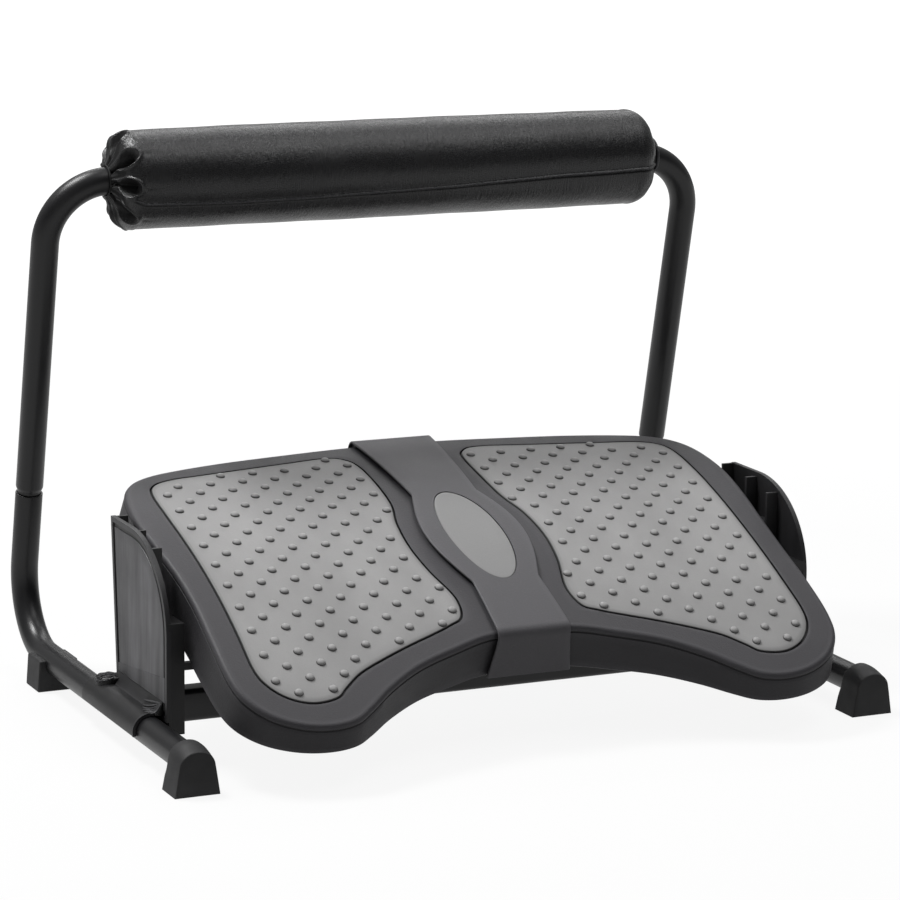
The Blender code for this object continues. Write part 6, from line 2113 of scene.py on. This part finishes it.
@dataclass
class Studio:
    """Pale floor, plain soft light and the camera at the photograph's angle."""

    camera_place: Triple = (-1.1902, -2.5714, 0.7843)
    azimuth: float = 0.4341
    pitch: float = 0.2042
    roll: float = 0.0122
    lens: float = 147.16
    overhead: float = 0.56
    ahead_share: float = 0.05
    low_share: float = 0.18
    floor_white: float = 0.80
    floor_tone: float = 0.36
    floor_shine: float = 0.68
    mirrored_white: float = 0.12
    floor_glow: float = 1.13
    aim_height: float = 0.18

    def camera(self) -> None:
        """Sets the camera up from its heading, its downward pitch and its roll."""
        az, p, roll = self.azimuth, self.pitch, self.roll
        ahead = Vector((math.sin(az) * math.cos(p), math.cos(az) * math.cos(p), -math.sin(p)))
        right = Vector((math.cos(az), -math.sin(az), 0.0))
        up = right.cross(ahead)
        right_rolled = right * math.cos(roll) + up * math.sin(roll)
        up_rolled = up * math.cos(roll) - right * math.sin(roll)
        data = bpy.data.cameras.new("camera")
        data.lens, data.sensor_width, data.clip_end = self.lens, 36.0, 100.0
        made = linked("camera", data)
        turn = Matrix((right_rolled, up_rolled, -ahead)).transposed().to_4x4()
        made.matrix_world = Matrix.Translation(self.camera_place) @ turn
        bpy.context.scene.camera = made

    def lamp(self, name: str, place: Triple, size: Pair, power: float) -> None:
        """Adds a soft rectangular lamp that faces the object's middle."""
        data = bpy.data.lights.new(name, "AREA")
        data.shape, data.size, data.size_y, data.energy = "RECTANGLE", size[0], size[1], power
        made = linked(name, data)
        made.location = place
        aim = Vector((0.0, 0.0, self.aim_height)) - Vector(place)
        made.rotation_mode = "QUATERNION"
        made.rotation_quaternion = aim.to_track_quat("-Z", "Y")

    def lights(self) -> None:
        """A key high on the left and a little behind, a broad one overhead, a low strip behind that the
        roller's top mirrors, and a weak fill."""
        self.lamp("key", (-0.85, 0.62, 2.1), (0.7, 0.6), 46.0)
        self.lamp("top", (0.70, -0.35, 2.2), (1.7, 1.0), 17.0)
        self.lamp("strip", (0.85, 1.95, 1.65), (1.8, 0.45), 10.0)
        self.lamp("fill", (-1.5, -2.2, 1.2), (1.4, 1.2), 1.5)

    def backdrop(self) -> None:
        """White to the camera; to the object, bright overhead and behind it and dim on the user's side.

        What the object gets from a direction is overhead * share(y) * share(z), where each share rises
        evenly from a low value to 1. Its gloss also mirrors a share of the white.
        """
        world = bpy.data.worlds.new("surroundings")
        bpy.context.scene.world = world
        world.use_nodes = True
        nodes = Nodes(world.node_tree)
        split, path = nodes.add("ShaderNodeSeparateXYZ"), nodes.add("ShaderNodeLightPath")
        nodes.feed(split.inputs[0], nodes.add("ShaderNodeTexCoord").outputs["Generated"])
        shares = nodes.sum("MULTIPLY", nodes.ramp(split.outputs["Y"], self.ahead_share, 1.0, -0.55, 0.55),
                           nodes.ramp(split.outputs["Z"], self.low_share, 1.0, -0.1, 0.8))
        gloss = nodes.sum("MULTIPLY", path.outputs["Is Glossy Ray"], self.mirrored_white)
        clear = nodes.sum("ADD", path.outputs["Is Camera Ray"], path.outputs["Is Transmission Ray"])
        lit, seen = nodes.add("ShaderNodeBackground"), nodes.add("ShaderNodeBackground")
        for node in (lit, seen):
            nodes.feed(node.inputs["Color"], (1.0, 1.0, 1.0))
        nodes.feed(lit.inputs["Strength"], nodes.sum("MULTIPLY", shares, self.overhead))
        nodes.end("ShaderNodeOutputWorld", nodes.sum("ADD", gloss, clear), lit, seen)

    def floor(self) -> None:
        """A wide pale floor: near white to the camera with a soft shadow near the object, bright in
        reflections, and a plain grey that lights the object's underside otherwise.

        The glow's share for a camera ray rises from floor_white at 0.7 m from the middle to 1 at 3 m;
        for a glossy ray it is floor_shine.
        """
        half, low = 18.0, -0.0002
        corners = np.array([(-half, -half, low), (half, -half, low), (half, half, low), (-half, half, low)])
        ground = to_object("studio_floor", Surface(corners, [np.array([[0, 1, 2, 3]])]))
        pale = bpy.data.materials.new("pale floor")
        pale.use_nodes = True
        nodes = Nodes(pale.node_tree)
        away, path = nodes.add("ShaderNodeVectorMath", operation="LENGTH"), nodes.add("ShaderNodeLightPath")
        nodes.feed(away.inputs[0], nodes.add("ShaderNodeTexCoord").outputs["Object"])
        white = nodes.ramp(away.outputs["Value"], self.floor_white, 1.0, 0.7, 3.0)
        seen = nodes.sum("MULTIPLY", path.outputs["Is Camera Ray"], white)
        mirrored = nodes.sum("MULTIPLY", path.outputs["Is Glossy Ray"], self.floor_shine)
        plain, glow = nodes.add("ShaderNodeBsdfDiffuse"), nodes.add("ShaderNodeEmission")
        nodes.feed(plain.inputs["Color"], (self.floor_tone,) * 3)
        nodes.feed(glow.inputs["Strength"], self.floor_glow)
        nodes.end("ShaderNodeOutputMaterial", nodes.sum("ADD", seen, mirrored), plain, glow)
        ground.data.materials.append(pale)

    def build(self) -> None:
        """Sets up the camera, the light and the floor."""
        self.camera()
        self.lights()
        self.backdrop()
        self.floor()
        bpy.context.scene.view_settings.view_transform = "Standard"


def main() -> None:
    """Builds every sub-assembly in order."""
    logging.basicConfig(level=logging.INFO, format="%(name)s: %(message)s")
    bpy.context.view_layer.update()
    Studio().build()
    finishes, tubes, base = Finishes(), TubeFrame(), Platform()
    feet, towers, crossbar = Feet(tubes), Towers(tubes), Crossbar()
    shells = Shells(base, towers)
    for part in (tubes, feet, towers, crossbar, shells, Pads(base, shells), CentreCover(base),
                 AxleSet(base, towers), Roller(tubes), Fasteners(tubes, feet, towers, crossbar, base)):
        LOG.info("building %s", type(part).__name__)
        part.build(finishes)


if __name__ == "__main__":
    main()
